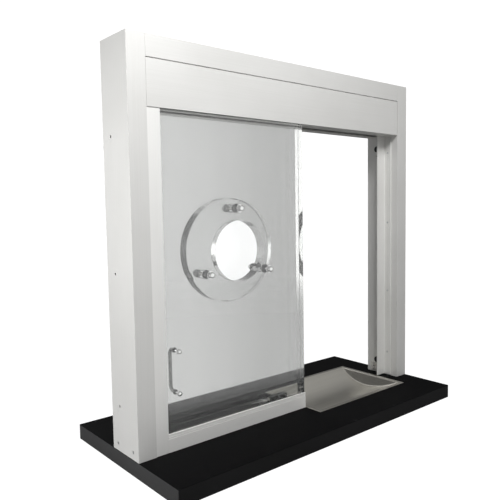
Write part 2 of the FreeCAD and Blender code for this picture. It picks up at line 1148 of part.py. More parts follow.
def pull_handle():
    """A bent rod with a round foot at each end and a screw through the lite."""
    low, high = handle_heights()
    out = sash_back + handle_reach
    bend = handle_bend_radius
    start = FreeCAD.Vector(handle_x, sash_back, low)
    a = FreeCAD.Vector(handle_x, out - bend, low)
    b = FreeCAD.Vector(handle_x, out, low + bend)
    c = FreeCAD.Vector(handle_x, out, high - bend)
    d = FreeCAD.Vector(handle_x, out - bend, high)
    end = FreeCAD.Vector(handle_x, sash_back, high)
    inset = bend * (1 - math.sqrt(0.5))
    low_middle = FreeCAD.Vector(handle_x, out - inset, low + inset)
    high_middle = FreeCAD.Vector(handle_x, out - inset, high - inset)
    path = Part.Wire(
        [
            Part.makeLine(start, a),
            Part.Arc(a, low_middle, b).toShape(),
            Part.makeLine(b, c),
            Part.Arc(c, high_middle, d).toShape(),
            Part.makeLine(d, end),
        ]
    )
    circle = Part.makeCircle(handle_rod_diameter / 2, start, FreeCAD.Vector(0, 1, 0))
    rod = path.makePipeShell([Part.Wire(circle)], True, False)
    solids = [rod]
    nut_seat = sash_front - washer_thickness
    for z in (low, high):
        foot_end = sash_back + handle_foot_thickness
        foot = rod_y(handle_x, sash_back, foot_end, z, handle_foot_diameter)
        screw_tip = nut_seat - handle_screw_reach
        screw = rod_y(handle_x, screw_tip, sash_back, z, handle_screw_diameter)
        solids.append(foot)
        solids.append(screw)
    return fuse_all(solids)


def handle_cap_nuts():
    """Small cap nuts with washers on the customer side of the handle screws."""
    nuts = []
    nut_seat = sash_front - washer_thickness
    for z in handle_heights():
        washer = rod_y(handle_x, nut_seat, sash_front, z, handle_foot_diameter)
        washer = washer.cut(rod_y(handle_x, nut_seat, sash_front, z, handle_screw_diameter))
        nut = cap_nut(
            handle_x,
            nut_seat,
            z,
            -1,
            handle_nut_flats,
            handle_nut_hex_height,
            handle_nut_height,
            handle_screw_diameter,
        )
        screw_tip = nut_seat - handle_screw_reach
        screw_end = rod_y(handle_x, screw_tip, nut_seat, z, handle_screw_diameter)
        nuts.append(fuse_all([washer, nut]).cut(screw_end))
    return group(nuts)


def hanger_brackets():
    brackets = []
    for centre in trolley_centres:
        low_x = centre - bracket_length / 2
        high_x = centre + bracket_length / 2
        front = sash_front - bracket_flange
        back = sash_back + bracket_flange
        plate = box(low_x, high_x, front, back, sash_top, sash_top + bracket_plate)
        front_flange = box(low_x, high_x, front, sash_front, sash_top - bracket_drop, sash_top)
        back_flange = box(low_x, high_x, sash_back, back, sash_top - bracket_drop, sash_top)
        bracket = fuse_all([plate, front_flange, back_flange])
        bracket = bracket.cut(
            rod_z(centre, sash_centre_y, sash_top, sash_top + bracket_plate, hanger_stud_diameter)
        )
        for x, z in bracket_bolt_points():
            bracket = bracket.cut(rod_y(x, front, back, z, bracket_bolt_diameter))
        brackets.append(bracket)
    return group(brackets)


def bracket_bolts():
    bolts = []
    front = sash_front - bracket_flange
    back = sash_back + bracket_flange
    for x, z in bracket_bolt_points():
        shank = rod_y(x, front, back, z, bracket_bolt_diameter)
        head = rod_y(x, front - bracket_head_height, front, z, bracket_head_diameter)
        seat = FreeCAD.Vector(x, back, z)
        outward = FreeCAD.Vector(0, 1, 0)
        nut = hex_bar(seat, outward, bracket_head_diameter, bracket_head_height)
        bolts.append(fuse_all([shank, head, nut]))
    return group(bolts)


def hanger_stud(centre):
    trolley_top = trolley_bottom + trolley_height
    top = trolley_top + hanger_nut_height
    return rod_z(centre, sash_centre_y, sash_top, top, hanger_stud_diameter)


def hanger_studs():
    """A threaded stud per trolley, with a nut on the bracket and one on the trolley."""
    studs = []
    up = FreeCAD.Vector(0, 0, 1)
    trolley_top = trolley_bottom + trolley_height
    for centre in trolley_centres:
        low_seat = FreeCAD.Vector(centre, sash_centre_y, sash_top + bracket_plate)
        high_seat = FreeCAD.Vector(centre, sash_centre_y, trolley_top)
        low_nut = hex_bar(low_seat, up, hanger_nut_flats, hanger_nut_height)
        high_nut = hex_bar(high_seat, up, hanger_nut_flats, hanger_nut_height)
        studs.append(fuse_all([hanger_stud(centre), low_nut, high_nut]))
    return group(studs)


def axle_centres(trolley_index):
    centre = trolley_centres[trolley_index]
    return (centre - wheel_spacing / 2, centre + wheel_spacing / 2)


def trolleys():
    blocks = []
    for index, centre in enumerate(trolley_centres):
        front = sash_centre_y - trolley_width / 2
        back = sash_centre_y + trolley_width / 2
        block = box(
            centre - trolley_length / 2,
            centre + trolley_length / 2,
            front,
            back,
            trolley_bottom,
            trolley_bottom + trolley_height,
        )
        ends = [
            edge
            for edge in block.Edges
            if abs(edge.tangentAt(edge.FirstParameter).y) > parallel_limit
        ]
        block = block.makeFillet(trolley_edge_radius, ends)
        for x in axle_centres(index):
            block = block.cut(rod_y(x, front, back, axle_height, axle_diameter))
        block = block.cut(hanger_stud(centre))
        blocks.append(block)
    return group(blocks)


def axle_pins():
    pins = []
    reach = wheel_inner_offset + wheel_width + axle_head_gap
    for index in range(len(trolley_centres)):
        for x in axle_centres(index):
            low = sash_centre_y - reach
            high = sash_centre_y + reach
            pin = rod_y(x, low, high, axle_height, axle_diameter)
            heads = []
            for side in (-1, 1):
                inner = sash_centre_y + side * reach
                outer = inner + side * axle_head_thickness
                heads.append(
                    rod_y(x, min(inner, outer), max(inner, outer), axle_height, axle_head_diameter)
                )
            pins.append(fuse_all([pin] + heads))
    return group(pins)


def roller_pair(x):
    wheels = []
    for side in (-1, 1):
        inner = sash_centre_y + side * wheel_inner_offset
        outer = inner + side * wheel_width
        low = min(inner, outer)
        high = max(inner, outer)
        wheel = rod_y(x, low, high, axle_height, 2 * wheel_radius)
        wheel = wheel.makeChamfer(wheel_edge_chamfer, wheel.Edges)
        bore = axle_diameter + 2 * axle_running_gap
        wheels.append(wheel.cut(rod_y(x, low, high, axle_height, bore)))
    return group(wheels)


def bolt_solid():
    bolt = rod_x(bolt_right - bolt_length, bolt_right, lock_axis_y, bolt_axis_z, bolt_diameter)
    tip = [edge for edge in bolt.Edges if edge.BoundBox.XMin > bolt_right - same_place]
    return bolt.makeChamfer(bolt_tip_chamfer, tip)


def lock_case():
    case = box(
        lock_left,
        lock_right,
        sash_back,
        sash_back + lock_depth,
        lock_bottom,
        lock_top,
    )
    rounded = [
        edge
        for edge in case.Edges
        if abs(edge.tangentAt(edge.FirstParameter).x) > parallel_limit
        and edge.BoundBox.YMin > sash_back + same_place
    ]
    case = case.makeFillet(lock_edge_radius, rounded)
    plug_bore = plug_diameter + 2 * lock_running_gap
    bolt_bore = bolt_diameter + 2 * lock_running_gap
    bolt_low = bolt_right - bolt_length - bolt_pocket_spare
    plug_high = lock_left + plug_length
    case = case.cut(rod_x(lock_left, plug_high, lock_axis_y, plug_axis_z, plug_bore))
    case = case.cut(rod_x(bolt_low, lock_right, lock_axis_y, bolt_axis_z, bolt_bore))
    return cut_all(case, lock_screw_solids())


def lock_screws():
    return group(lock_screw_solids())


def key_blade():
    """The part of the key from its shoulder to its tip, lying flat in the keyway."""
    left = bow_centre_x + bow_radius - bow_overlap
    right = lock_left - plug_face_out + key_blade_length
    return box(
        left,
        right,
        lock_axis_y - key_blade_height / 2,
        lock_axis_y + key_blade_height / 2,
        plug_axis_z - key_thickness / 2,
        plug_axis_z + key_thickness / 2,
    )


def lock_plug():
    face = lock_left - plug_face_out
    end = lock_left + plug_length - plug_end_gap
    plug = rod_x(face, end, lock_axis_y, plug_axis_z, plug_diameter)
    keyway = box(
        face,
        face + key_blade_length + keyway_end_gap,
        lock_axis_y - keyway_height / 2,
        lock_axis_y + keyway_height / 2,
        plug_axis_z - keyway_width / 2,
        plug_axis_z + keyway_width / 2,
    )
    return plug.cut(keyway)


def key():
    low = plug_axis_z - key_thickness / 2
    high = plug_axis_z + key_thickness / 2
    bow = rod_z(bow_centre_x, lock_axis_y, low, high, 2 * bow_radius)
    solid = fuse_all([bow, key_blade()])
    hole_x = bow_centre_x - bow_hole_offset
    bottom = low - cut_margin
    top = high + cut_margin
    return solid.cut(rod_z(hole_x, lock_axis_y, bottom, top, bow_hole_diameter))


def ring_plane_tilted(shape):
    """Swing the ring and spare key down towards the counter about the bow's hole."""
    pivot = FreeCAD.Vector(bow_centre_x - bow_hole_offset, lock_axis_y, plug_axis_z)
    shape.rotate(pivot, FreeCAD.Vector(1, 0, 0), -spare_tilt)
    return shape


def key_ring():
    """A wire ring through the bow's hole, standing across the key."""
    centre = FreeCAD.Vector(
        bow_centre_x - bow_hole_offset, lock_axis_y + ring_radius, plug_axis_z
    )
    ring = Part.makeTorus(ring_radius, ring_wire, centre, FreeCAD.Vector(1, 0, 0))
    return ring_plane_tilted(ring)


def spare_key():
    """A second key hanging on the ring, with its bow square to the ring."""
    x = bow_centre_x - bow_hole_offset
    ring_far = lock_axis_y + 2 * ring_radius
    bow_centre_y = ring_far + bow_hole_offset
    low = plug_axis_z - key_thickness / 2
    high = plug_axis_z + key_thickness / 2
    bow = rod_z(x, bow_centre_y, low, high, 2 * bow_radius)
    blade = box(
        x - spare_blade_width / 2,
        x + spare_blade_width / 2,
        bow_centre_y + bow_radius - bow_overlap,
        bow_centre_y + bow_radius + spare_length,
        low,
        high,
    )
    solid = fuse_all([bow, blade])
    bottom = low - cut_margin
    top = high + cut_margin
    solid = solid.cut(rod_z(x, ring_far, bottom, top, bow_hole_diameter))
    return ring_plane_tilted(solid)


def build_parts():
    parts = {
        "countertop_core": countertop_core(),
        "countertop_laminate": countertop_laminate(),
        "front_edge_band": long_edge_band(-1),
        "back_edge_band": long_edge_band(1),
        "left_edge_band": short_edge_band(-1),
        "right_edge_band": short_edge_band(1),
        "deal_tray": deal_tray(),
        "left_jamb": jamb(-1),
        "right_jamb": jamb(1),
        "jamb_top_caps": jamb_top_caps(),
        "jamb_foot_cleats": jamb_foot_cleats(),
        "cleat_screws": cleat_screws(),
        "header_beam": header_beam(),
        "header_cover": header_cover(),
        "cover_clips": cover_clips(),
        "header_back_panel": header_back_panel(),
        "soffit_front": soffit_front(),
        "soffit_rear": soffit_rear(),
        "top_track": top_track(),
        "track_end_stops": track_end_stops(),
        "track_screws": track_screws(),
        "left_stile": left_stile(),
        "bottom_rail": bottom_rail(),
        "setting_blocks": setting_blocks(),
        "glazing_gaskets": glazing_gaskets(),
        "top_glazing_channel": top_glazing_channel(),
        "channel_hangers": channel_hangers(),
        "fixed_lite": fixed_lite(),
        "bottom_guide_channel": bottom_guide_channel(),
        "guide_liners": guide_liners(),
        "right_stop_angle": right_stop_angle(),
        "stop_screws": stop_screws(),
        "closing_bumpers": closing_bumpers(),
        "strike_plate": strike_plate(),
        "strike_screws": strike_screws(),
        "sliding_lite": sliding_lite(),
        "baffle_disc": baffle_disc(),
        "baffle_spacers": baffle_spacers(),
        "baffle_studs": baffle_studs(),
        "baffle_washers": baffle_washers(),
        "baffle_cap_nuts": baffle_cap_nuts(),
        "pull_handle": pull_handle(),
        "handle_cap_nuts": handle_cap_nuts(),
        "hanger_brackets": hanger_brackets(),
        "bracket_bolts": bracket_bolts(),
        "hanger_studs": hanger_studs(),
        "trolleys": trolleys(),
        "axle_pins": axle_pins(),
        "lock_case": lock_case(),
        "lock_screws": lock_screws(),
        "lock_bolt": bolt_solid(),
        "lock_plug": lock_plug(),
        "key": key(),
        "key_ring": key_ring(),
        "spare_key": spare_key(),
    }
    number = 1
    for index in range(len(trolley_centres)):
        for x in axle_centres(index):
            parts[f"rollers_{number}"] = roller_pair(x)
            number += 1
    return parts


os.makedirs("parts", exist_ok=True)
for name, shape in build_parts().items():
    shape.exportStep(f"parts/{name}.step")
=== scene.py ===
import math

import bmesh
import bpy
from mathutils import Matrix, Vector
from mathutils.geometry import tessellate_polygon


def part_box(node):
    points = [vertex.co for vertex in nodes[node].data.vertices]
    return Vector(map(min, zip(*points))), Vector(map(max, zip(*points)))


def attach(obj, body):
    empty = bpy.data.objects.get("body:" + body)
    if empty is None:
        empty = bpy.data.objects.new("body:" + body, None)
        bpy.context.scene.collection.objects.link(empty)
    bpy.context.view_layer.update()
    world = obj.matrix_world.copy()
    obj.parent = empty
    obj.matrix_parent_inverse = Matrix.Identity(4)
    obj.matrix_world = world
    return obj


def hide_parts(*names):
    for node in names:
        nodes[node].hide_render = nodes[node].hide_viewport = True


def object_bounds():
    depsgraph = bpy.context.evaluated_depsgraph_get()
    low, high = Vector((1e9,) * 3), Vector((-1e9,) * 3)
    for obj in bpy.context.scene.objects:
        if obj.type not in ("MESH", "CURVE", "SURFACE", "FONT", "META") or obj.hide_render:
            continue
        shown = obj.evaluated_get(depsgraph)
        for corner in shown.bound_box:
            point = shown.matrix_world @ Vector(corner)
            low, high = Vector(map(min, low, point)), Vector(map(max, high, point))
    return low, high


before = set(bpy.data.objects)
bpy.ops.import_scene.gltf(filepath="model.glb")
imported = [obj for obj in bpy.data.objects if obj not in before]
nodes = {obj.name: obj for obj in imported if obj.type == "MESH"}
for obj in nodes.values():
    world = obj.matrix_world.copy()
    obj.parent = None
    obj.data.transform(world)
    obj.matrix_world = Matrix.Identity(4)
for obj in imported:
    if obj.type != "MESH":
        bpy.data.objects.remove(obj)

# Looks of the sliding service window. Metres, in the same frame as the CAD:
# X along the window, Y from the customer side to the staff side, Z up.

cad_low, cad_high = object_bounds()
scene = bpy.context.scene
MM = 0.001

# Camera: three-quarter view from the customer side, to the left of the window
CAMERA_PLACE = (-1.105, -1.261, 0.625)
CAMERA_YAW = 42.297
CAMERA_PITCH = 4.417
CAMERA_ROLL = -0.639
CAMERA_LENS = 41.83
CAMERA_SENSOR = 36.0
CAMERA_SHIFT = (-0.078, -0.002)
CAMERA_CLIP = (0.02, 60.0)

# Circle segments by size of the round part
FINE = 160
MIDDLE = 64
SMALL = 32


# ---------------------------------------------------------------- camera and studio

def make_camera():
    yaw, pitch, roll = (math.radians(a) for a in (CAMERA_YAW, CAMERA_PITCH, CAMERA_ROLL))
    forward = Vector((math.sin(yaw) * math.cos(pitch), math.cos(yaw) * math.cos(pitch), -math.sin(pitch)))
    level_right = Vector((math.cos(yaw), -math.sin(yaw), 0.0))
    level_up = level_right.cross(forward)
    right = level_right * math.cos(roll) + level_up * math.sin(roll)
    up = -level_right * math.sin(roll) + level_up * math.cos(roll)
    turn = Matrix((right, up, -forward)).transposed()
    data = bpy.data.cameras.new("camera")
    data.sensor_width = CAMERA_SENSOR
    data.lens = CAMERA_LENS
    data.shift_x, data.shift_y = CAMERA_SHIFT
    data.clip_start, data.clip_end = CAMERA_CLIP
    camera = bpy.data.objects.new("camera", data)
    camera.matrix_world = Matrix.Translation(CAMERA_PLACE) @ turn.to_4x4()
    scene.collection.objects.link(camera)
    scene.camera = camera


class Nodes:
    """Short calls for building a node tree."""

    def __init__(self, tree):
        self.tree = tree

    def add(self, kind, inputs=(), **settings):
        node = self.tree.nodes.new(kind)
        for name, value in settings.items():
            setattr(node, name, value)
        for name, value in dict(inputs).items():
            if isinstance(value, bpy.types.NodeSocket):
                self.tree.links.new(value, node.inputs[name])
            else:
                node.inputs[name].default_value = value
        return node

    def link(self, output, target):
        self.tree.links.new(output, target)

    def map_range(self, value, low, high, out_low, out_high, smooth=False):
        kind = "SMOOTHSTEP" if smooth else "LINEAR"
        node = self.add("ShaderNodeMapRange", {0: value, 1: low, 2: high, 3: out_low, 4: out_high},
                        interpolation_type=kind)
        return node.outputs[0]

    def math(self, operation, a, b):
        return self.add("ShaderNodeMath", {0: a, 1: b}, operation=operation).outputs[0]

    def noise(self, vector, scale, detail=3.0, roughness=0.5, distortion=0.0):
        node = self.add("ShaderNodeTexNoise", {"Vector": vector, "Scale": scale, "Detail": detail,
                                               "Roughness": roughness, "Distortion": distortion})
        return node.outputs["Fac"]

    def stretched(self, vector, scale):
        return self.add("ShaderNodeMapping", {"Vector": vector, "Scale": scale}).outputs["Vector"]

    def blend(self, a, b, share):
        """The weighted mean of two values, a by its share and b by the rest."""
        return self.math("ADD", self.math("MULTIPLY", a, share), self.math("MULTIPLY", b, 1 - share))

    def camera_rays(self):
        """The light path, and whether a ray comes from the camera, straight or through the acrylic."""
        path = self.add("ShaderNodeLightPath")
        through = self.math("GREATER_THAN", path.outputs["Transmission Depth"], 0.5)
        return path, self.math("MAXIMUM", path.outputs["Is Camera Ray"], through)

    def mix_colour(self, factor, a, b):
        node = self.add("ShaderNodeMix", {0: factor}, data_type="RGBA")
        node.inputs[6].default_value = (*a, 1.0)
        node.inputs[7].default_value = (*b, 1.0)
        return node.outputs[2]


# Soft boxes that reflections see: direction, cosine at the edge and at full strength, brightness
SOFT_BOXES = (
    ((0.02, -0.97, 0.24), 0.45, 0.97, 0.50),
    ((-0.42, 0.90, 0.04), 0.94, 0.995, 0.45),
    ((0.35, 0.35, 0.87), 0.75, 0.97, 0.55),
)
STUDIO_DARK = 0.10
STUDIO_FILL = 0.20
BACKDROP = 1.10
# A brighter patch of the backdrop, in the same terms
SIDE_GLOW = ((-0.69, 0.72, 0.05), 0.93, 0.99, 1.9)
LIGHT_BOUNCES = 24


def make_world():
    """A white backdrop for the camera and the acrylic, soft boxes for reflections, dim fill for the rest."""
    world = bpy.data.worlds.new("studio")
    world.use_nodes = True
    scene.world = world
    n = Nodes(world.node_tree)
    world.node_tree.nodes.clear()
    direction = n.add("ShaderNodeTexCoord").outputs["Generated"]
    path, seen = n.camera_rays()

    def lobe(towards, edge, full, brightness):
        inputs = {0: direction, 1: Vector(towards).normalized()}
        cosine = n.add("ShaderNodeVectorMath", inputs, operation="DOT_PRODUCT").outputs["Value"]
        return n.map_range(cosine, edge, full, 0.0, brightness, smooth=True)

    reflected = STUDIO_DARK
    for box in SOFT_BOXES:
        reflected = n.math("ADD", lobe(*box), reflected)
    backdrop = n.math("ADD", lobe(*SIDE_GLOW), BACKDROP)
    by_gloss = n.add("ShaderNodeMix", {0: path.outputs["Is Glossy Ray"], 2: STUDIO_FILL,
                                       3: reflected}).outputs[0]
    strength = n.add("ShaderNodeMix", {0: seen, 2: by_gloss, 3: backdrop}).outputs[0]
    background = n.add("ShaderNodeBackground", {"Color": (1.0, 1.0, 1.0, 1.0), "Strength": strength})
    output = n.add("ShaderNodeOutputWorld")
    n.link(background.outputs[0], output.inputs["Surface"])


# Area lights: name, place, what they face, width, height, power
LIGHTS = (
    ("key_soft_box", (-0.55, -1.32, 2.08), (-0.10, 0.00, 0.55), 0.80, 0.60, 42.0),
    ("side_soft_box", (-1.30, -0.02, 0.66), (-0.50, -0.02, 0.60), 0.16, 0.70, 7.4),
    ("rear_soft_box", (0.30, 2.20, 1.60), (0.00, 0.00, 0.45), 1.20, 1.00, 9.0),
)


def make_lights():
    for name, place, facing, width, height, power in LIGHTS:
        data = bpy.data.lights.new(name, "AREA")
        data.shape = "RECTANGLE"
        data.size = width
        data.size_y = height
        data.energy = power
        light = bpy.data.objects.new(name, data)
        light.location = place
        aim = Vector(facing) - light.location
        light.rotation_mode = "QUATERNION"
        light.rotation_quaternion = aim.to_track_quat("-Z", "Y")
        light.visible_camera = False
        light.visible_transmission = False
        scene.collection.objects.link(light)


FLOOR_RADIUS = 4.0
FLOOR_LEVEL = -0.0006
FLOOR_PAPER = (0.34, 0.34, 0.34, 1.0)
FLOOR_GLOW = 1.10
FLOOR_GLOW_SHARE = 0.97
FLOOR_FADE = (1.4, FLOOR_RADIUS * 0.97)


def make_floor():
    """A pale disc of paper that fades into the backdrop towards its rim."""
    mesh = bpy.data.meshes.new("floor")
    rim = [(FLOOR_RADIUS * math.cos(2 * math.pi * i / FINE), FLOOR_RADIUS * math.sin(2 * math.pi * i / FINE),
            FLOOR_LEVEL) for i in range(FINE)]
    mesh.from_pydata(rim, [], [list(range(FINE))])
    material = bpy.data.materials.new("paper_floor")
    material.use_nodes = True
    n = Nodes(material.node_tree)
    shader = material.node_tree.nodes["Principled BSDF"]
    place = n.add("ShaderNodeTexCoord").outputs["Object"]
    grain = n.noise(place, 240.0)
    bump = n.add("ShaderNodeBump", {"Strength": 0.05, "Distance": 0.0004, "Height": grain})
    n.link(bump.outputs["Normal"], shader.inputs["Normal"])
    shader.inputs["Base Color"].default_value = FLOOR_PAPER
    shader.inputs["Roughness"].default_value = 0.9
    shader.inputs["Specular IOR Level"].default_value = 0.1
    _, seen = n.camera_rays()
    glow = n.add("ShaderNodeEmission", {"Color": (1.0, 1.0, 1.0, 1.0), "Strength": FLOOR_GLOW})
    lit = n.add("ShaderNodeMixShader", {0: n.math("MULTIPLY", seen, FLOOR_GLOW_SHARE), 1: shader.outputs[0],
                                        2: glow.outputs[0]})
    distance = n.add("ShaderNodeVectorMath", {0: place}, operation="LENGTH").outputs["Value"]
    fade = n.map_range(distance, *FLOOR_FADE, 0.0, 1.0, smooth=True)
    clear = n.add("ShaderNodeBsdfTransparent")
    mixed = n.add("ShaderNodeMixShader", {0: fade, 1: lit.outputs[0], 2: clear.outputs[0]})
    n.link(mixed.outputs[0], material.node_tree.nodes["Material Output"].inputs["Surface"])
    mesh.materials.append(material)
    floor = bpy.data.objects.new("floor", mesh)
    scene.collection.objects.link(floor)


# ---------------------------------------------------------------- materials
# Noise scales are in cycles per metre, and bump distances in metres.

ACRYLIC_IOR = 1.49


def start_material(name, colour, metallic, roughness):
    material = bpy.data.materials.new(name)
    material.use_nodes = True
    n = Nodes(material.node_tree)
    shader = material.node_tree.nodes["Principled BSDF"]
    shader.inputs["Base Color"].default_value = (*colour, 1.0)
    shader.inputs["Metallic"].default_value = metallic
    shader.inputs["Roughness"].default_value = roughness
    place = n.add("ShaderNodeTexCoord").outputs["Object"]
    return material, n, shader, place


def bump_into(n, shader, height, strength, distance):
    bump = n.add("ShaderNodeBump", {"Strength": strength, "Distance": distance, "Height": height})
    n.link(bump.outputs["Normal"], shader.inputs["Normal"])


def tint(n, shader, value, low, high, first, second):
    """Base colour from first to second, as a value goes from low to high."""
    mixed = n.mix_colour(n.map_range(value, low, high, 0.0, 1.0), first, second)
    n.link(mixed, shader.inputs["Base Color"])


def gloss(n, shader, value, low, high, smooth, rough):
    """Roughness from smooth to rough, as a value goes from low to high."""
    n.link(n.map_range(value, low, high, smooth, rough), shader.inputs["Roughness"])


def grain(axis, fine, long):
    """A noise scale that is fine across one axis and long along it."""
    scale = [fine] * 3
    scale[axis] = long
    return scale


def anodised(name, grain_axis, light=(0.803, 0.80, 0.782), dark=(0.733, 0.73, 0.708)):
    """Satin clear-anodised extrusion: fine die lines along one axis and a faint cloudiness."""
    material, n, shader, place = start_material(name, light, 0.35, 0.5)
    lines = n.noise(n.stretched(place, grain(grain_axis, 1400.0, 5.0)), 1.0, detail=4.0, roughness=0.65)
    cloud = n.noise(place, 5.0)
    speck = n.noise(place, 2600.0, detail=1.0)
    tint(n, shader, n.blend(lines, cloud, 0.5), 0.35, 0.65, dark, light)
    surface = n.blend(lines, speck, 0.6)
    gloss(n, shader, surface, 0.3, 0.7, 0.44, 0.56)
    bump_into(n, shader, surface, 0.16, 0.00006)
    return material


def laminate(name, colour, roughness, specular, pebble):
    """Matte black laminate with a fine pebbled press texture."""
    material, n, shader, place = start_material(name, colour, 0.0, roughness)
    shader.inputs["Specular IOR Level"].default_value = specular
    fine = n.noise(place, 1500.0, detail=2.0)
    cells = n.add("ShaderNodeTexVoronoi", {"Vector": place, "Scale": pebble}, feature="SMOOTH_F1")
    wipe = n.noise(n.stretched(place, (3.0, 9.0, 9.0)), 1.0, detail=4.0)
    tint(n, shader, wipe, 0.35, 0.75, colour, tuple(c * 1.9 for c in colour))
    gloss(n, shader, wipe, 0.3, 0.7, roughness - 0.06, roughness + 0.06)
    bump_into(n, shader, n.blend(fine, cells.outputs["Distance"], 0.4), 0.25, 0.0002)
    return material


def brushed(name, light, dark, rough, grain_axis):
    """Brushed stainless or zinc: long scratches along one axis with brighter and duller bands."""
    material, n, shader, place = start_material(name, light, 1.0, 0.35)
    scratch = n.noise(n.stretched(place, grain(grain_axis, 2200.0, 14.0)), 1.0, roughness=0.7)
    band = n.noise(n.stretched(place, grain(grain_axis, 60.0, 2.0)), 1.0)
    cloud = n.noise(place, 14.0, detail=4.0)
    tint(n, shader, n.blend(scratch, band, 0.45), 0.35, 0.65, dark, light)
    gloss(n, shader, n.blend(scratch, cloud, 0.5), 0.35, 0.65, *rough)
    bump_into(n, shader, scratch, 0.22, 0.00005)
    return material


def acrylic(name, colour, ripple, clearness=1.0, painted_shade_far_colour=None, ends=(0.0, 1.0)):
    """Polished cast acrylic, faintly wavy, with hairline rub marks. Its tint may darken along X with soft
    vertical streaks, which are painted shade and painted reflection.
    """
    material, n, shader, place = start_material(name, colour, 0.0, 0.0)
    shader.inputs["Transmission Weight"].default_value = clearness
    # Painted shade and painted reflection: the tint darkens along X towards a darker colour, with soft
    # vertical streaks.
    if painted_shade_far_colour:
        along = n.add("ShaderNodeSeparateXYZ", {0: place}).outputs[0]
        painted_reflection_streak = n.noise(n.stretched(place, (26.0, 26.0, 1.2)), 1.0, detail=2.0)
        share = n.math("ADD", n.map_range(along, ends[0], ends[1], 0.0, 1.0, smooth=True),
                       n.map_range(painted_reflection_streak, 0.3, 0.7, -0.08, 0.08))
        n.link(n.mix_colour(share, colour, painted_shade_far_colour), shader.inputs["Base Color"])
    shader.inputs["IOR"].default_value = ACRYLIC_IOR
    wave = n.noise(n.stretched(place, (9.0, 9.0, 2.5)), 1.0, detail=1.0)
    rub = n.noise(n.stretched(place, (500.0, 500.0, 30.0)), 1.0, detail=2.0)
    gloss(n, shader, rub, 0.55, 0.8, 0.0, 0.015)
    bump_into(n, shader, wave, ripple, 0.0004)
    return material


def chrome(name, light, dark, rough, grain=900.0, metallic=1.0, rim=None):
    """Polished plate with the faint haze and pits of handled hardware, and maybe a painted dark rim: a
    painted reflection that darkens the colour towards grazing edges.
    """
    material, n, shader, place = start_material(name, light, metallic, 0.1)
    haze = n.noise(place, 60.0, detail=5.0, roughness=0.6)
    pit = n.noise(place, grain, detail=2.0)
    plate_colour = n.mix_colour(n.map_range(haze, 0.35, 0.7, 0.0, 1.0), light, dark)
    # Painted reflection: the base colour darkens towards grazing edges, standing in for dark surroundings
    # mirrored at the rim.
    if rim:
        facing = n.add("ShaderNodeLayerWeight", {"Blend": 0.5}).outputs["Facing"]
        edge = n.add("ShaderNodeMix", {0: n.map_range(facing, 0.15, 0.62, 0.0, 1.0)}, data_type="RGBA")
        edge.inputs[7].default_value = (*rim, 1.0)
        n.link(plate_colour, edge.inputs[6])
        plate_colour = edge.outputs[2]
    n.link(plate_colour, shader.inputs["Base Color"])
    gloss(n, shader, haze, 0.35, 0.7, *rough)
    bump_into(n, shader, pit, 0.05, 0.00004)
    return material


def rubber(name, colour):
    """Black rubber with a pale bloom."""
    material, n, shader, place = start_material(name, colour, 0.0, 0.7)
    shader.inputs["Specular IOR Level"].default_value = 0.35
    fine = n.noise(place, 1800.0)
    bloom = n.noise(place, 45.0, detail=4.0)
    tint(n, shader, bloom, 0.4, 0.75, colour, tuple(c * 2.2 + 0.004 for c in colour))
    gloss(n, shader, bloom, 0.3, 0.7, 0.6, 0.8)
    bump_into(n, shader, fine, 0.35, 0.0001)
    return material


def moulded_nylon(name, colour):
    """Off-white nylon, slightly translucent and unevenly aged."""
    material, n, shader, place = start_material(name, colour, 0.0, 0.45)
    shader.inputs["Subsurface Weight"].default_value = 0.15
    shader.inputs["Subsurface Radius"].default_value = (0.004, 0.003, 0.002)
    texture = n.noise(place, 700.0)
    tint(n, shader, n.noise(place, 30.0), 0.35, 0.7, colour, tuple(c * 0.86 for c in colour))
    gloss(n, shader, texture, 0.3, 0.7, 0.38, 0.55)
    bump_into(n, shader, texture, 0.15, 0.00008)
    return material


def pile(name, colour):
    """The short woven pile of the strips that the sash runs between."""
    material, n, shader, place = start_material(name, colour, 0.0, 0.95)
    shader.inputs["Sheen Weight"].default_value = 0.4
    tuft = n.noise(n.stretched(place, (1600.0, 1600.0, 160.0)), 1.0, detail=2.0)
    row = n.noise(n.stretched(place, (120.0, 120.0, 10.0)), 1.0, detail=2.0)
    tint(n, shader, n.math("ADD", tuft, row), 0.75, 1.25, tuple(c * 0.45 for c in colour), colour)
    bump_into(n, shader, tuft, 0.8, 0.0006)
    return material


def particle_board(name):
    """Raw board with flakes of several browns."""
    material, n, shader, place = start_material(name, (0.50, 0.38, 0.24), 0.0, 0.9)
    flake = n.add("ShaderNodeTexVoronoi", {"Vector": n.stretched(place, (260.0, 260.0, 420.0)), "Scale": 1.0})
    dust = n.noise(place, 1200.0)
    pick = n.add("ShaderNodeSeparateColor", {0: flake.outputs["Color"]}).outputs[0]
    tint(n, shader, n.blend(pick, dust, 0.6), 0.15, 0.85, (0.26, 0.17, 0.09), (0.66, 0.52, 0.34))
    bump_into(n, shader, n.math("ADD", pick, dust), 0.6, 0.0004)
    return material


def black_enamel(name):
    """Satin black paint with a slight orange peel."""
    material, n, shader, place = start_material(name, (0.012, 0.012, 0.012), 0.0, 0.4)
    shader.inputs["Specular IOR Level"].default_value = 0.2
    rub = n.noise(place, 70.0, detail=4.0)
    tint(n, shader, rub, 0.5, 0.8, (0.034, 0.034, 0.033), (0.060, 0.059, 0.057))
    gloss(n, shader, rub, 0.3, 0.7, 0.50, 0.62)
    bump_into(n, shader, n.noise(place, 520.0, detail=2.0), 0.3, 0.0001)
    return material


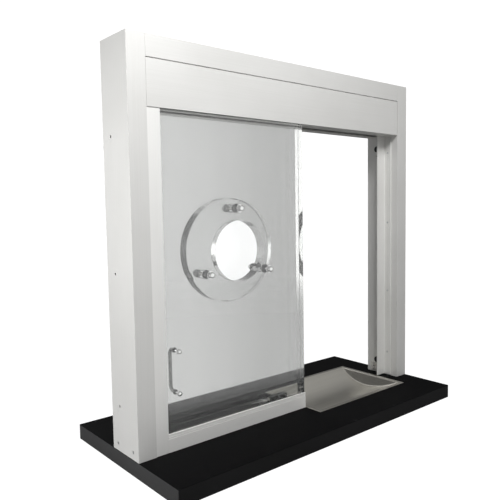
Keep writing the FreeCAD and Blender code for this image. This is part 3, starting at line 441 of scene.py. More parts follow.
LOOKS = {
    "aluminium_x": anodised("aluminium_x", 0),
    "aluminium_z": anodised("aluminium_z", 2),
    # Lighter copies of the anodised look for the bottom rail and the left stile: painted light, which
    # brightens these fronts beyond the same anodising elsewhere.
    "aluminium_rail_painted_light": anodised("aluminium_rail_painted_light", 0, (0.965, 0.96, 0.938), (0.915, 0.91, 0.888)),
    "aluminium_stile_painted_light": anodised("aluminium_stile_painted_light", 2, (0.943, 0.94, 0.918), (0.893, 0.89, 0.868)),
    "laminate_top": laminate("laminate_top", (0.0022, 0.0022, 0.0024), 0.70, 0.04, 900.0),
    "laminate_edge": laminate("laminate_edge", (0.0065, 0.0065, 0.0068), 0.50, 0.12, 1300.0),
    # A lighter copy of the edge laminate for the slab's ends: painted light, standing in for the brighter lit
    # end faces.
    "laminate_end_painted_light": laminate("laminate_end_painted_light", (0.016, 0.016, 0.0164), 0.42, 0.42, 1300.0),
    "board": particle_board("board"),
    "tray_steel": brushed("tray_steel", (0.515, 0.50, 0.455), (0.455, 0.44, 0.40), (0.28, 0.36), 0),
    "clear_acrylic": acrylic("clear_acrylic", (0.985, 0.99, 0.988), 0.003),
    "hazed_acrylic": acrylic("hazed_acrylic", (0.975, 0.98, 0.978), 0.003, clearness=0.97),
    # The smoke sheet darkens from left to right with faint vertical streaks: painted shade and painted
    # reflection over its smoke tint.
    "smoke_acrylic": acrylic("smoke_acrylic", (0.57, 0.573, 0.565), 0.003, 0.95,
                             (0.40, 0.403, 0.395), (-0.40, 0.02)),
    # The rim colours of chrome and pull steel are painted reflection that darkens their grazing edges.
    "chrome": chrome("chrome", (0.90, 0.90, 0.895), (0.82, 0.82, 0.81), (0.06, 0.14),
                     rim=(0.16, 0.16, 0.16)),
    "pull_steel": chrome("pull_steel", (0.50, 0.50, 0.49), (0.40, 0.40, 0.39), (0.12, 0.22),
                         rim=(0.08, 0.08, 0.08)),
    "zinc": brushed("zinc", (0.62, 0.63, 0.64), (0.46, 0.47, 0.47), (0.30, 0.45), 0),
    "rubber": rubber("rubber", (0.012, 0.012, 0.012)),
    "nylon": moulded_nylon("nylon", (0.78, 0.77, 0.72)),
    "pile": pile("pile", (0.32, 0.32, 0.31)),
    "enamel": black_enamel("enamel"),
    "nickel": chrome("nickel", (0.95, 0.93, 0.88), (0.85, 0.82, 0.77), (0.20, 0.32), 1400.0, 0.35),
    "key_nickel": chrome("key_nickel", (0.97, 0.96, 0.93), (0.88, 0.87, 0.84), (0.24, 0.36), 1400.0, 0.12),
}

# Look and edge rounding of each CAD node that stays, in millimetres
KEPT_NODES = {
    "countertop_core": ("board", 0.3),
    "countertop_laminate": ("laminate_top", 0.25),
    "front_edge_band": ("laminate_edge", 0.2),
    "back_edge_band": ("laminate_edge", 0.2),
    # The end bands take the lighter laminate copy, which is painted light.
    "left_edge_band": ("laminate_end_painted_light", 0.2),
    "right_edge_band": ("laminate_end_painted_light", 0.2),
    "left_jamb": ("aluminium_z", 0.6),
    "right_jamb": ("aluminium_z", 0.6),
    "jamb_top_caps": ("aluminium_x", 0.4),
    "jamb_foot_cleats": ("zinc", 0.3),
    "header_beam": ("aluminium_x", 0.6),
    "header_cover": ("aluminium_x", 0.5),
    "cover_clips": ("zinc", 0.3),
    "header_back_panel": ("aluminium_x", 0.4),
    "soffit_front": ("aluminium_x", 0.4),
    "soffit_rear": ("aluminium_x", 0.4),
    "top_track": ("aluminium_x", 0.3),
    "track_end_stops": ("rubber", 0.6),
    "track_screws": ("zinc", 0.2),
    # The stile and the bottom rail take the lighter anodised copies, which are painted light.
    "left_stile": ("aluminium_stile_painted_light", 0.4),
    "bottom_rail": ("aluminium_rail_painted_light", 0.2),
    "setting_blocks": ("rubber", 0.4),
    "glazing_gaskets": ("rubber", 0.4),
    "top_glazing_channel": ("aluminium_x", 0.3),
    "channel_hangers": ("zinc", 0.3),
    "fixed_lite": ("hazed_acrylic", 0.3),
    "bottom_guide_channel": ("aluminium_x", 0.3),
    "guide_liners": ("pile", 0.3),
    "right_stop_angle": ("aluminium_z", 0.4),
    "strike_plate": ("nickel", 0.3),
    "hanger_brackets": ("zinc", 0.5),
    "bracket_bolts": ("zinc", 0.3),
    "hanger_studs": ("zinc", 0.3),
    "trolleys": ("zinc", 0.4),
    "axle_pins": ("zinc", 0.2),
    "lock_case": ("enamel", 0.3),
    "lock_screws": ("zinc", 0.2),
    "lock_bolt": ("nickel", 0.2),
    "lock_plug": ("nickel", 0.2),
}


BEVEL_ANGLE = math.radians(40.0)
BEVEL_SEGMENTS = 2
WELD_GAP = 0.002 * MM


def add_bevel(obj, width):
    bevel = obj.modifiers.new("bevel", "BEVEL")
    bevel.width = width
    bevel.segments = BEVEL_SEGMENTS
    bevel.limit_method = "ANGLE"
    bevel.angle_limit = BEVEL_ANGLE
    obj.modifiers.new("normals", "WEIGHTED_NORMAL")


def dress(node, look, rounding):
    """Give a CAD node its material and slightly rounded edges."""
    obj = nodes[node]
    for slot in obj.material_slots:
        slot.material = LOOKS[look]
    weld = obj.modifiers.new("weld", "WELD")
    weld.merge_threshold = WELD_GAP
    add_bevel(obj, rounding * MM)


# ---------------------------------------------------------------- mesh building

X_AXIS = Vector((1.0, 0.0, 0.0))
Y_AXIS = Vector((0.0, 1.0, 0.0))
Z_AXIS = Vector((0.0, 0.0, 1.0))
SAME_POINT = 0.01 * MM
# Sharpest bend in degrees that is still shaded smooth
CREASE = 35.0
WIDE_CREASE = 50.0
NO_RADIUS = 1e-7
CORNER_STEPS = 3
CORNER_SHARE = 0.45


def solids(node):
    """The lowest and highest corners of each separate solid of a CAD node, from low X and Z up."""
    bm = bmesh.new()
    bm.from_mesh(nodes[node].data)
    bmesh.ops.remove_doubles(bm, verts=bm.verts, dist=SAME_POINT)
    left = set(bm.verts)
    boxes = []
    for start in bm.verts:
        if start not in left:
            continue
        left.discard(start)
        island = [start]
        for vert in island:
            for edge in vert.link_edges:
                other = edge.other_vert(vert)
                if other in left:
                    left.discard(other)
                    island.append(other)
        low = Vector([min(v.co[i] for v in island) for i in range(3)])
        high = Vector([max(v.co[i] for v in island) for i in range(3)])
        boxes.append((low, high))
    bm.free()
    return sorted(boxes, key=lambda b: [round(c, 5) for c in (b[0].x, b[0].z, b[0].y)])


def make_piece(name, bm, look, body, replaced, crease=CREASE):
    """Turn a finished bmesh into a piece that rides on a body and stands for CAD nodes."""
    bmesh.ops.recalc_face_normals(bm, faces=bm.faces)
    mesh = bpy.data.meshes.new(name)
    bm.to_mesh(mesh)
    bm.free()
    mesh.shade_smooth()
    mesh.set_sharp_from_angle(angle=math.radians(crease))
    mesh.materials.append(LOOKS[look])
    obj = bpy.data.objects.new(name, mesh)
    scene.collection.objects.link(obj)
    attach(obj, body)
    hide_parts(*replaced)
    return obj


def soften(points, radius, closed=False):
    """Round the corners of an outline by cutting each one back by up to a radius."""
    out = []
    count = len(points)
    for i, point in enumerate(points):
        if not closed and i in (0, count - 1):
            out.append(point)
            continue
        corner = Vector(point)
        before = Vector(points[i - 1]) - corner
        after = Vector(points[(i + 1) % count]) - corner
        a = corner + before.normalized() * min(radius, before.length * CORNER_SHARE)
        b = corner + after.normalized() * min(radius, after.length * CORNER_SHARE)
        for k in range(CORNER_STEPS + 1):
            t = k / CORNER_STEPS
            out.append(tuple(a * (1 - t) ** 2 + corner * 2 * t * (1 - t) + b * t * t))
    return out


def bridge(bm, first, second):
    """Faces between two rings of points, either of which may be a single point."""
    if len(first) == 1 and len(second) == 1:
        return
    count = max(len(first), len(second))
    for i in range(count):
        j = (i + 1) % count
        if len(first) == 1:
            bm.faces.new((first[0], second[j], second[i]))
        elif len(second) == 1:
            bm.faces.new((first[i], first[j], second[0]))
        else:
            bm.faces.new((first[i], first[j], second[j], second[i]))


def across(axis):
    """Two directions at right angles to an axis and to each other."""
    side = Z_AXIS if axis.x else X_AXIS
    return side, axis.cross(side)


def turn(bm, profile, centre, axis, segments=MIDDLE, closed=False):
    """Turn a profile of (distance along, radius) about an axis. A radius may depend on the angle."""
    side, other = across(axis)
    rings = []
    for along, radius in profile:
        base = centre + axis * along
        if not callable(radius) and radius < NO_RADIUS:
            rings.append([bm.verts.new(base)])
            continue
        ring = []
        for i in range(segments):
            angle = 2 * math.pi * i / segments
            reach = radius(angle) if callable(radius) else radius
            ring.append(bm.verts.new(base + (side * math.cos(angle) + other * math.sin(angle)) * reach))
        rings.append(ring)
    for first, second in zip(rings, rings[1:]):
        bridge(bm, first, second)
    if closed:
        bridge(bm, rings[-1], rings[0])


def circle_loop(x, z, radius, segments):
    """A circle as a function of how far it is pulled in; a hole is pulled in by a negative amount."""
    def points(pulled):
        reach = radius - pulled
        angles = [2 * math.pi * i / segments for i in range(segments)]
        return [(x + reach * math.cos(angle), z + reach * math.sin(angle)) for angle in angles]
    return points


def rectangle_loop(low, high):
    """A rectangle as a function of how far it is pulled in."""
    def points(pulled):
        left, right = low.x + pulled, high.x - pulled
        bottom, top = low.z + pulled, high.z - pulled
        return [(left, bottom), (right, bottom), (right, top), (left, top)]
    return points


def plate(bm, outline, holes, front, back, rim):
    """A plate between two Y values, with holes and a small chamfer round every edge."""
    faces = []
    walls = []
    for loop, sign in [(outline, 1)] + [(hole, -1) for hole in holes]:
        narrow = loop(sign * rim)
        full = loop(0.0)
        rings = [
            [bm.verts.new((x, front, z)) for x, z in narrow],
            [bm.verts.new((x, front + rim, z)) for x, z in full],
            [bm.verts.new((x, back - rim, z)) for x, z in full],
            [bm.verts.new((x, back, z)) for x, z in narrow],
        ]
        walls.append(rings)
        faces.append([Vector((x, z, 0.0)) for x, z in narrow])
    for rings in walls:
        for first, second in zip(rings, rings[1:]):
            bridge(bm, first, second)
    triangles = tessellate_polygon(faces)
    for end in (0, 3):
        verts = [v for rings in walls for v in rings[end]]
        for triangle in triangles:
            bm.faces.new([verts[i] for i in triangle])


def sweep(bm, path, normals, radius, segments):
    """A round rod along a path, with a unit normal at each point of it, closed at both ends."""
    rings = []
    for i, point in enumerate(path):
        tangent = (path[min(i + 1, len(path) - 1)] - path[max(i - 1, 0)]).normalized()
        a = normals[i]
        b = tangent.cross(a)
        rings.append([bm.verts.new(point + (a * math.cos(t) + b * math.sin(t)) * radius)
                      for t in (2 * math.pi * k / segments for k in range(segments))])
    for first, second in zip(rings, rings[1:]):
        bridge(bm, first, second)
    bm.faces.new(rings[0])
    bm.faces.new(list(reversed(rings[-1])))


def middle(corners):
    return (corners[0] + corners[1]) / 2


def face_middle(low, high, axis, at):
    """The middle of a solid, moved along one axis to a given place."""
    point = (low + high) / 2
    point[axis] = at
    return point


def quarter(steps):
    """The sine and cosine at even steps through a quarter turn."""
    angles = [math.pi / 2 * i / steps for i in range(steps + 1)]
    return [(math.sin(angle), math.cos(angle)) for angle in angles]


def tube(bm, seat, direction, inner, outer, length, rounding):
    """A washer or tube with rounded edges, standing on its seat."""
    section = [(0.0, inner), (0.0, outer), (length, outer), (length, inner)]
    turn(bm, soften(section, rounding, closed=True), seat, direction, closed=True)


# ---------------------------------------------------------------- acrylic

STUD = 10.0 * MM
SPEAK_HOLE = 163.0 * MM
HANDLE_SCREW = 5.0 * MM
BRACKET_BOLT = 8.0 * MM
STUD_CLEARANCE = 0.2 * MM
SHEET_CHAMFER = 0.5 * MM
DISC_CHAMFER = 2.0 * MM
SPACER_ROUNDING = 0.5 * MM


def bores(node, diameter=None):
    """Clearance holes for the solids of a node, of a given diameter or as wide as they are."""
    holes = []
    for low, high in solids(node):
        centre = (low + high) / 2
        wide = diameter or high.x - low.x
        holes.append(circle_loop(centre.x, centre.z, wide / 2 + STUD_CLEARANCE, SMALL))
    return holes


def sliding_lite():
    """The moving sheet, with its speak hole and the holes of everything fastened to it."""
    low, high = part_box("sliding_lite")
    low, high = Vector(low), Vector(high)
    baffle = middle([Vector(c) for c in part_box("baffle_disc")])
    holes = [circle_loop(baffle.x, baffle.z, SPEAK_HOLE / 2, FINE)]
    holes += bores("baffle_studs") + bores("handle_cap_nuts", HANDLE_SCREW)
    holes += bores("bracket_bolts", BRACKET_BOLT)
    bm = bmesh.new()
    plate(bm, rectangle_loop(low, high), holes, low.y, high.y, SHEET_CHAMFER)
    make_piece("sliding_lite_sheet", bm, "smoke_acrylic", "sash", ["sliding_lite"])


def baffle_disc():
    """The disc on spacers, with its rim chamfered and holes for the studs."""
    low, high = (Vector(c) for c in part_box("baffle_disc"))
    centre = (low + high) / 2
    rim = circle_loop(centre.x, centre.z, (high.x - low.x) / 2, FINE)
    bm = bmesh.new()
    plate(bm, rim, bores("baffle_studs"), low.y, high.y, DISC_CHAMFER)
    make_piece("baffle_disc_turned", bm, "clear_acrylic", "sash", ["baffle_disc"])


def baffle_spacers():
    bm = bmesh.new()
    for low, high in solids("baffle_spacers"):
        tube(bm, face_middle(low, high, 1, low.y), Y_AXIS, STUD / 2 + STUD_CLEARANCE,
             (high.x - low.x) / 2, high.y - low.y, SPACER_ROUNDING)
    make_piece("baffle_spacer_tubes", bm, "clear_acrylic", "sash", ["baffle_spacers"])


# ---------------------------------------------------------------- hardware on the sash

HEX_SEGMENTS = 72
DOME_STEPS = 14
# Of a domed nut: bore depth as a share of its height, the step in to the dome, the dome's rise to its radius
NUT_BORE = 0.62
DOME_STEP = 0.4 * MM
DOME_RISE = 0.75
THREAD_SEGMENTS = 24
THREAD_RINGS = 6
THREAD_PITCH = 1.5 * MM
THREAD_DEPTH = 0.75 * MM
PLAY = 0.1 * MM
WASHER_ROUNDING = 0.4 * MM
BAFFLE_NUT_HEX = 6.0 * MM
HANDLE_ROD = 4.5 * MM
HANDLE_BEND = 13.0 * MM
HANDLE_ROD_SEAT = 1.0 * MM
BEND_STEPS = 14
ROD_SEGMENTS = 40
GRIP_STEPS = 8
HANDLE_WASHER = 1.5 * MM
HANDLE_NUT_FLATS = 11.0 * MM
HANDLE_NUT_HEX = 3.5 * MM


def hexagon(flats, limit):
    """The reach of a hexagon with a flat distance, cut off at a round limit."""
    def reach(angle):
        from_flat = (angle % (math.pi / 3)) - math.pi / 6
        return min(flats / 2 / math.cos(from_flat), limit)
    return reach


def acorn_nut(bm, seat, direction, flats, hex_height, height, bore):
    """A domed nut: a blind bore, a chamfered hexagon and a smooth dome."""
    corner = flats / math.sqrt(3)
    bore_depth = height * NUT_BORE
    dome = flats / 2 - DOME_STEP
    dome_height = dome * DOME_RISE
    neck = height - dome_height
    profile = [
        (bore_depth, 0.0),
        (bore_depth, bore / 2),
        (0.0, bore / 2),
        (0.0, hexagon(flats, flats / 2 * 0.97)),
        (0.35 * MM, hexagon(flats, corner * 0.97)),
        (0.7 * MM, hexagon(flats, corner)),
        (hex_height - 1.1 * MM, hexagon(flats, corner)),
        (hex_height - 0.5 * MM, hexagon(flats, corner * 0.955)),
        (hex_height, hexagon(flats, flats / 2 * 0.985)),
        (hex_height, dome),
        (neck, dome),
    ]
    profile += [(neck + dome_height * sine, dome * cosine) for sine, cosine in quarter(DOME_STEPS)[1:-1]]
    profile.append((neck + dome_height, 0.0))
    turn(bm, profile, seat, direction, HEX_SEGMENTS)


def threaded_rod(bm, start, axis, length, radius):
    """A rod with a real spiral thread and chamfered ends."""
    steps = int(length / THREAD_PITCH * THREAD_RINGS)
    end = radius - THREAD_DEPTH * 1.3
    profile = [(0.0, 0.0), (0.0, end)]
    for k in range(1, steps):
        along = length * k / steps

        def reach(angle, along=along):
            phase = (along / THREAD_PITCH - angle / (2 * math.pi)) % 1.0
            return radius - THREAD_DEPTH * abs(2 * phase - 1)

        profile.append((along, reach))
    profile += [(length, end), (length, 0.0)]
    turn(bm, profile, start, axis, THREAD_SEGMENTS)


def baffle_hardware():
    """The three threaded studs, with a washer and a domed nut at each end."""
    bm = bmesh.new()
    for low, high in solids("baffle_studs"):
        start = face_middle(low, high, 1, low.y)
        threaded_rod(bm, start, Y_AXIS, high.y - low.y, (high.x - low.x) / 2 - PLAY)
    make_piece("baffle_threaded_studs", bm, "nickel", "sash", ["baffle_studs"], crease=WIDE_CREASE)
    bm = bmesh.new()
    for low, high in solids("baffle_washers"):
        tube(bm, face_middle(low, high, 1, low.y), Y_AXIS, STUD / 2 + STUD_CLEARANCE,
             (high.x - low.x) / 2, high.y - low.y, WASHER_ROUNDING)
    make_piece("baffle_washer_rings", bm, "chrome", "sash", ["baffle_washers"])
    bm = bmesh.new()
    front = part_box("sliding_lite")[0][1]
    for low, high in solids("baffle_cap_nuts"):
        on_front = (low.y + high.y) / 2 < front
        direction = -Y_AXIS if on_front else Y_AXIS
        seat = face_middle(low, high, 1, high.y if on_front else low.y)
        acorn_nut(bm, seat, direction, high.z - low.z, BAFFLE_NUT_HEX, high.y - low.y, STUD + PLAY)
    make_piece("baffle_domed_nuts", bm, "chrome", "sash", ["baffle_cap_nuts"])


def pull_path(x, seat, out, low_z, high_z):
    """The rod's middle line: out from the sheet, round a bend, up the grip and back round another."""
    bend = HANDLE_BEND
    grip = high_z - low_z - 2 * bend
    arc = quarter(BEND_STEPS)
    points = [(seat, low_z)]
    points += [(out - bend + bend * sine, low_z + bend - bend * cosine) for sine, cosine in arc]
    points += [(out, low_z + bend + grip * i / GRIP_STEPS) for i in range(1, GRIP_STEPS)]
    points += [(out - bend + bend * cosine, high_z - bend + bend * sine) for sine, cosine in arc]
    points.append((seat, high_z))
    return [Vector((x, y, z)) for y, z in points]


def pull_handle():
    """The bent rod with its feet, and its screws through the sheet."""
    low, high = (Vector(c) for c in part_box("pull_handle"))
    sheet_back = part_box("sliding_lite")[1][1]
    x = (low.x + high.x) / 2
    foot = (high.x - low.x) / 2
    ends = (low.z + foot, high.z - foot)
    path = pull_path(x, sheet_back + HANDLE_ROD_SEAT, high.y - HANDLE_ROD, *ends)
    collar = [(0.0, 0.0), (0.0, foot), (1.3 * MM, foot), (2.4 * MM, HANDLE_ROD + 0.9 * MM),
              (4.6 * MM, HANDLE_ROD + 0.15 * MM), (4.6 * MM, 0.0)]
    length = sheet_back - low.y
    screw = HANDLE_SCREW / 2 - PLAY
    bm = bmesh.new()
    sweep(bm, path, [X_AXIS] * len(path), HANDLE_ROD, ROD_SEGMENTS)
    for z in ends:
        turn(bm, soften(collar, WASHER_ROUNDING), Vector((x, sheet_back, z)), Y_AXIS)
        turn(bm, [(0.0, 0.0), (0.0, screw), (length, screw), (length, 0.0)],
             Vector((x, low.y, z)), Y_AXIS, SMALL)
    make_piece("pull_handle_rod", bm, "pull_steel", "sash", ["pull_handle"])


def handle_nuts():
    """A washer and a small domed nut on each screw of the pull."""
    bm = bmesh.new()
    for low, high in solids("handle_cap_nuts"):
        seat = face_middle(low, high, 1, high.y)
        tube(bm, seat, -Y_AXIS, HANDLE_SCREW / 2 + PLAY, (high.x - low.x) / 2, HANDLE_WASHER, WASHER_ROUNDING)
        acorn_nut(bm, seat - Y_AXIS * HANDLE_WASHER, -Y_AXIS, HANDLE_NUT_FLATS, HANDLE_NUT_HEX,
                  high.y - low.y - HANDLE_WASHER, HANDLE_SCREW + PLAY)
    make_piece("handle_domed_nuts", bm, "chrome", "sash", ["handle_cap_nuts"])


# ---------------------------------------------------------------- deal tray

TRAY_SHEET = 1.5 * MM
TRAY_FLANGE = 12.0 * MM
TRAY_END_RUN = 22.0 * MM
TRAY_RIM = 0.7 * MM
TRAY_CREASE = 2.2 * MM
TRAY_LIP = 2.0 * MM
TRAY_EDGE = 1.4 * MM
TRAY_EDGE_STEP = 0.35 * MM
TRAY_STEP_X = 1.8 * MM
TRAY_STEP_Y = 2.0 * MM
TRAY_PROBE = 0.2 * MM
TRAY_UNDER_GAP = 0.02 * MM


def soft_min(a, b, reach):
    """The lower of two values, rounded off where they come within reach of each other."""
    near = max(reach - abs(a - b), 0.0) / reach
    return min(a, b) - near * near * reach / 4


def spread(low, high, fine, edge, coarse):
    """Grid lines from low to high: fine ones within an edge distance of each end, coarse between."""
    count = int(round(edge / fine))
    near = [low + edge * i / count for i in range(count)]
    length = high - low - 2 * edge
    steps = int(round(length / coarse))
    between = [low + edge + length * i / steps for i in range(steps + 1)]
    far = [high - edge + edge * (i + 1) / count for i in range(count)]
    return near + between + far


def tray_surface(low, high):
    """The height of the tray's upper face as a function of place."""
    depth = high.z - low.z - TRAY_SHEET
    half = (high.y - low.y) / 2 - TRAY_FLANGE
    middle_y = (high.y + low.y) / 2
    radius = (half * half + depth * depth) / (2 * depth)

    def height(x, y):
        off_middle = min(abs(y - middle_y), radius * 0.98)
        trough = depth - radius + math.sqrt(radius * radius - off_middle * off_middle)
        ends = min(x - low.x - TRAY_FLANGE, high.x - TRAY_FLANGE - x) * depth / TRAY_END_RUN
        sunk = soft_min(trough, ends, TRAY_CREASE)
        sunk = -soft_min(-sunk, 0.0, TRAY_LIP)
        edge = min(x - low.x, high.x - x, y - low.y, high.y - y)
        drop = TRAY_RIM - math.sqrt(max(TRAY_RIM * TRAY_RIM - (TRAY_RIM - min(edge, TRAY_RIM)) ** 2, 0.0))
        return high.z - sunk - drop

    return height


def deal_tray():
    """The pressed tray: a flat flange with a rolled rim, and a dished basin with sloping ends."""
    low, high = (Vector(c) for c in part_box("deal_tray"))
    height = tray_surface(low, high)
    xs = spread(low.x, high.x, TRAY_EDGE_STEP, TRAY_EDGE, TRAY_STEP_X)
    ys = spread(low.y, high.y, TRAY_EDGE_STEP, TRAY_EDGE, TRAY_STEP_Y)
    bm = bmesh.new()

    def under(x, y):
        """The point of the lower face below a place on the upper one."""
        if min(x - low.x, high.x - x, y - low.y, high.y - y) <= TRAY_FLANGE / 2:
            return Vector((x, y, high.z - TRAY_SHEET + TRAY_UNDER_GAP))
        step = TRAY_PROBE
        slope_x = (height(x + step, y) - height(x - step, y)) / (2 * step)
        slope_y = (height(x, y + step) - height(x, y - step)) / (2 * step)
        normal = Vector((-slope_x, -slope_y, 1.0)).normalized()
        return Vector((x, y, height(x, y))) - normal * TRAY_SHEET

    top = [[bm.verts.new((x, y, height(x, y))) for y in ys] for x in xs]
    bottom = [[bm.verts.new(under(x, y)) for y in ys] for x in xs]
    last_x, last_y = len(xs) - 1, len(ys) - 1
    for i in range(last_x):
        for j in range(last_y):
            bm.faces.new((top[i][j], top[i + 1][j], top[i + 1][j + 1], top[i][j + 1]))
            bm.faces.new((bottom[i][j], bottom[i][j + 1], bottom[i + 1][j + 1], bottom[i + 1][j]))
    for i in range(last_x):
        bm.faces.new((top[i][0], bottom[i][0], bottom[i + 1][0], top[i + 1][0]))
        bm.faces.new((top[i][last_y], top[i + 1][last_y], bottom[i + 1][last_y], bottom[i][last_y]))
    for j in range(last_y):
        bm.faces.new((top[0][j], top[0][j + 1], bottom[0][j + 1], bottom[0][j]))
        bm.faces.new((top[last_x][j], bottom[last_x][j], bottom[last_x][j + 1], top[last_x][j + 1]))
    make_piece("deal_tray_pressing", bm, "tray_steel", "frame", ["deal_tray"],
               crease=WIDE_CREASE)


# ---------------------------------------------------------------- screws, bumpers and rollers

# Countersunk screws that lie along X, and the diameter of their shanks
SCREWS_ALONG_X = (("cleat_screws", 4.0 * MM), ("stop_screws", 4.0 * MM), ("strike_screws", 3.5 * MM))
HEAD_RINGS = 9
# Cross recess, as shares of the head's diameter
CROSS_DEPTH = 0.20
CROSS_REACH = 0.30
CROSS_WIDTH = 0.085

BUMPER_STEPS = 8
# Straight and rounded shares of a bumper's thickness, and the radius of its crown as a share of its own
BUMPER_SIDE = 0.45
BUMPER_ROUND = 0.55
BUMPER_CROWN = 0.28

ROLLER_BORE = 3.05 * MM
ROLLER_ROUNDING = 0.5 * MM
# Section of a wheel outside its bore, as shares of its width and of its radius
ROLLER_SECTION = (
    (0.0, 0.42), (0.22, 0.46), (0.22, 0.74), (0.0, 0.80), (0.0, 0.93), (0.12, 1.0),
    (0.88, 1.0), (1.0, 0.93), (1.0, 0.80), (0.78, 0.74), (0.78, 0.46), (1.0, 0.42),
)


def countersunk_screw(bm, face, direction, head, shank, length):
    """A screw with a cross recess. face is the centre of its head and direction its way in."""
    side, other = across(direction)
    rings = []
    for k in range(HEAD_RINGS + 1):
        radius = head / 2 * (1 - k / HEAD_RINGS)
        ring = []
        for i in range(SMALL if k < HEAD_RINGS else 1):
            angle = 2 * math.pi * i / SMALL
            a, b = radius * math.cos(angle), radius * math.sin(angle)
            narrow = min(abs(a), abs(b)) / (head * CROSS_WIDTH)
            far = max(abs(a), abs(b)) / (head * CROSS_REACH)
            cut = max(0.0, 1 - narrow ** 4) * max(0.0, 1 - far ** 4)
            ring.append(bm.verts.new(face + side * a + other * b + direction * (head * CROSS_DEPTH * cut)))
        rings.append(ring)
    for first, second in zip(rings, rings[1:]):
        bridge(bm, first, second)
    previous = rings[0]
    for along, radius in (((head - shank) / 2, shank / 2), (length - shank * 0.3, shank / 2),
                          (length, shank * 0.2), (length, 0.0)):
        base = face + direction * along
        angles = [2 * math.pi * i / SMALL for i in range(SMALL if radius else 1)]
        ring = [bm.verts.new(base + (side * math.cos(t) + other * math.sin(t)) * radius) for t in angles]
        bridge(bm, previous, ring)
        previous = ring


def screws_along_x():
    """The countersunk screws of the cleats, the stop angle and the strike plate."""
    middle_x = (cad_low[0] + cad_high[0]) / 2
    for node, shank in SCREWS_ALONG_X:
        bm = bmesh.new()
        for low, high in solids(node):
            into_right = node != "cleat_screws" or low.x < middle_x
            direction = X_AXIS if into_right else -X_AXIS
            face = face_middle(low, high, 0, low.x if into_right else high.x)
            countersunk_screw(bm, face, direction, high.z - low.z - PLAY, shank - PLAY, high.x - low.x)
        make_piece(node + "_crosshead", bm, "zinc", "frame", [node])


def bumpers():
    """The two rubber buttons that the sash closes on, each with a dimple in its crown."""
    bm = bmesh.new()
    for low, high in solids("closing_bumpers"):
        seat = face_middle(low, high, 0, high.x)
        radius = (high.z - low.z) / 2
        thick = high.x - low.x
        profile = [(0.0, 0.0), (0.0, radius), (thick * BUMPER_SIDE, radius)]
        for sine, cosine in quarter(BUMPER_STEPS)[1:]:
            profile.append((thick * BUMPER_SIDE + thick * BUMPER_ROUND * sine,
                            BUMPER_CROWN * radius + (1 - BUMPER_CROWN) * radius * cosine))
        profile += [(thick * 0.80, 0.20 * radius), (thick * 0.72, 0.0)]
        turn(bm, profile, seat, -X_AXIS)
    make_piece("closing_bumper_buttons", bm, "rubber", "frame", ["closing_bumpers"])


def rollers():
    """Moulded wheels with a raised hub, a dished web and a rounded tread."""
    for number in range(1, 5):
        node = f"rollers_{number}"
        bm = bmesh.new()
        for low, high in solids(node):
            wide = high.y - low.y
            rim = (high.x - low.x) / 2
            outline = [(0.0, ROLLER_BORE)]
            outline += [(wide * share, rim * reach) for share, reach in ROLLER_SECTION]
            outline.append((wide, ROLLER_BORE))
            turn(bm, soften(outline, ROLLER_ROUNDING, closed=True), face_middle(low, high, 1, low.y), Y_AXIS,
                 closed=True)
        make_piece(f"roller_pair_{number}", bm, "nylon", f"roller_{number}", [node])


# ---------------------------------------------------------------- keys

KEY_BLADE = 6.4 * MM
KEY_CUTS = (1.2 * MM, 2.0 * MM, 0.9 * MM, 1.7 * MM)
SPARE_BLADE = 7.0 * MM
SPARE_REACH = 22.0 * MM
SPARE_CUTS = (1.8 * MM, 1.0 * MM, 2.2 * MM, 1.3 * MM, 1.9 * MM)
KEY_SHOULDER = 2.2 * MM
KEY_SPINE = 0.84
KEY_TIP = 1.4 * MM
KEY_SHEET = 0.92
KEY_BEVEL = 0.25 * MM
KEY_HOLE = 2.5 * MM
KEY_HOLE_AT = -6.0 * MM
BOW_STEPS = 44
RING = 8.0 * MM
RING_WIRE = 0.42 * MM
RING_TILT = math.radians(-21.5)
RING_STEPS = 120
WIRE_SEGMENTS = 14


def key_outline(bow, blade, length, cuts):
    """A flat key as (along, across) from the middle of its bow: a round bow, shoulders and a cut blade."""
    start = math.asin(blade / 2 / bow)
    sweep_angle = 2 * math.pi - 2 * start
    angles = [start + sweep_angle * i / BOW_STEPS for i in range(BOW_STEPS + 1)]
    outline = [(bow * math.cos(angle), bow * math.sin(angle)) for angle in angles]
    shoulder = bow + KEY_SHOULDER
    spine = blade / 2 * KEY_SPINE
    tip = length - KEY_TIP
    outline += [(shoulder, -blade / 2), (shoulder, -spine), (length - 1.6 * MM, -spine),
                (length, -blade * 0.12), (tip, blade / 2 * 0.70)]
    room = tip - shoulder
    for i, cut in enumerate(reversed(cuts)):
        at = tip - room * (i + 0.5) / (len(cuts) + 0.6)
        width = room * 0.22 / len(cuts)
        outline += [(at + width * 1.6, spine - cut * 0.35), (at + width, spine - cut),
                    (at - width, spine - cut)]
    outline += [(shoulder, spine), (shoulder, blade / 2)]
    return outline


def flat_key(bm, centre, along, sideways, up, outline, thickness):
    """Cut a key out of sheet, in the plane of along and sideways."""
    angles = [2 * math.pi * i / SMALL for i in range(SMALL)]
    hole = [(KEY_HOLE_AT + KEY_HOLE * math.cos(angle), KEY_HOLE * math.sin(angle)) for angle in angles]
    loops = [outline, hole]
    levels = []
    for level in (-thickness / 2, thickness / 2):
        base = centre + up * level
        levels.append([[bm.verts.new(base + along * a + sideways * b) for a, b in loop] for loop in loops])
    triangles = tessellate_polygon([[Vector((a, b, 0.0)) for a, b in loop] for loop in loops])
    for level in levels:
        verts = [v for loop in level for v in loop]
        for triangle in triangles:
            bm.faces.new([verts[i] for i in triangle])
    for low_loop, high_loop in zip(levels[0], levels[1]):
        bridge(bm, low_loop, high_loop)


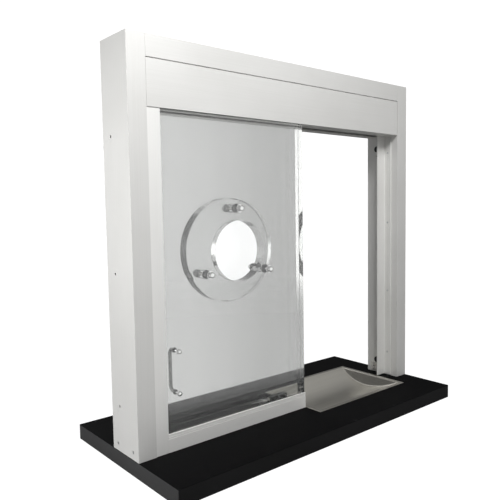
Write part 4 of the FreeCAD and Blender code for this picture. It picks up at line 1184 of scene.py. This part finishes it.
def split_ring(bm, pivot, out, up):
    """Nearly two turns of wire that step aside half way round."""
    path = []
    normals = []
    for i in range(RING_STEPS + 1):
        share = i / RING_STEPS
        angle = 4 * math.pi * share * 0.985
        radial = -out * math.cos(angle) + up * math.sin(angle)
        aside = RING_WIRE * 1.05 * max(-1.0, min(1.0, (share - 0.5) * 8))
        path.append(pivot + out * RING + radial * RING + X_AXIS * aside)
        normals.append(radial)
    sweep(bm, path, normals, RING_WIRE, WIRE_SEGMENTS)


def keys_and_ring():
    """The key in the lock, the split ring through its bow and the spare key hanging from the ring."""
    low, high = (Vector(c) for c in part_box("key"))
    bow = (high.y - low.y) / 2
    thick = (high.z - low.z) * KEY_SHEET
    centre = face_middle(low, high, 0, low.x + bow)
    outline = key_outline(bow, KEY_BLADE, high.x - centre.x, KEY_CUTS)
    bm = bmesh.new()
    flat_key(bm, centre, X_AXIS, Y_AXIS, Z_AXIS, outline, thick)
    add_bevel(make_piece("key_cut", bm, "key_nickel", "key", ["key"]), KEY_BEVEL)

    pivot = centre + X_AXIS * KEY_HOLE_AT
    tilt = Matrix.Rotation(RING_TILT, 3, "X")
    out = tilt @ Y_AXIS
    up = tilt @ Z_AXIS
    bm = bmesh.new()
    split_ring(bm, pivot, out, up)
    make_piece("key_split_ring", bm, "key_nickel", "spare_key", ["key_ring"])

    spare_centre = pivot + out * (2 * RING - KEY_HOLE_AT)
    outline = key_outline(bow, SPARE_BLADE, bow + SPARE_REACH, SPARE_CUTS)
    bm = bmesh.new()
    flat_key(bm, spare_centre, out, X_AXIS, up, outline, thick)
    spare = make_piece("spare_key_cut", bm, "key_nickel", "spare_key", ["spare_key"])
    add_bevel(spare, KEY_BEVEL)


# ---------------------------------------------------------------- building the scene

make_camera()
make_world()
make_lights()
make_floor()
for node, (look, rounding) in KEPT_NODES.items():
    dress(node, look, rounding)
sliding_lite()
baffle_disc()
baffle_spacers()
baffle_hardware()
pull_handle()
handle_nuts()
deal_tray()
screws_along_x()
bumpers()
rollers()
keys_and_ring()

scene.cycles.max_bounces = LIGHT_BOUNCES
scene.cycles.transmission_bounces = LIGHT_BOUNCES
scene.view_settings.view_transform = "Standard"
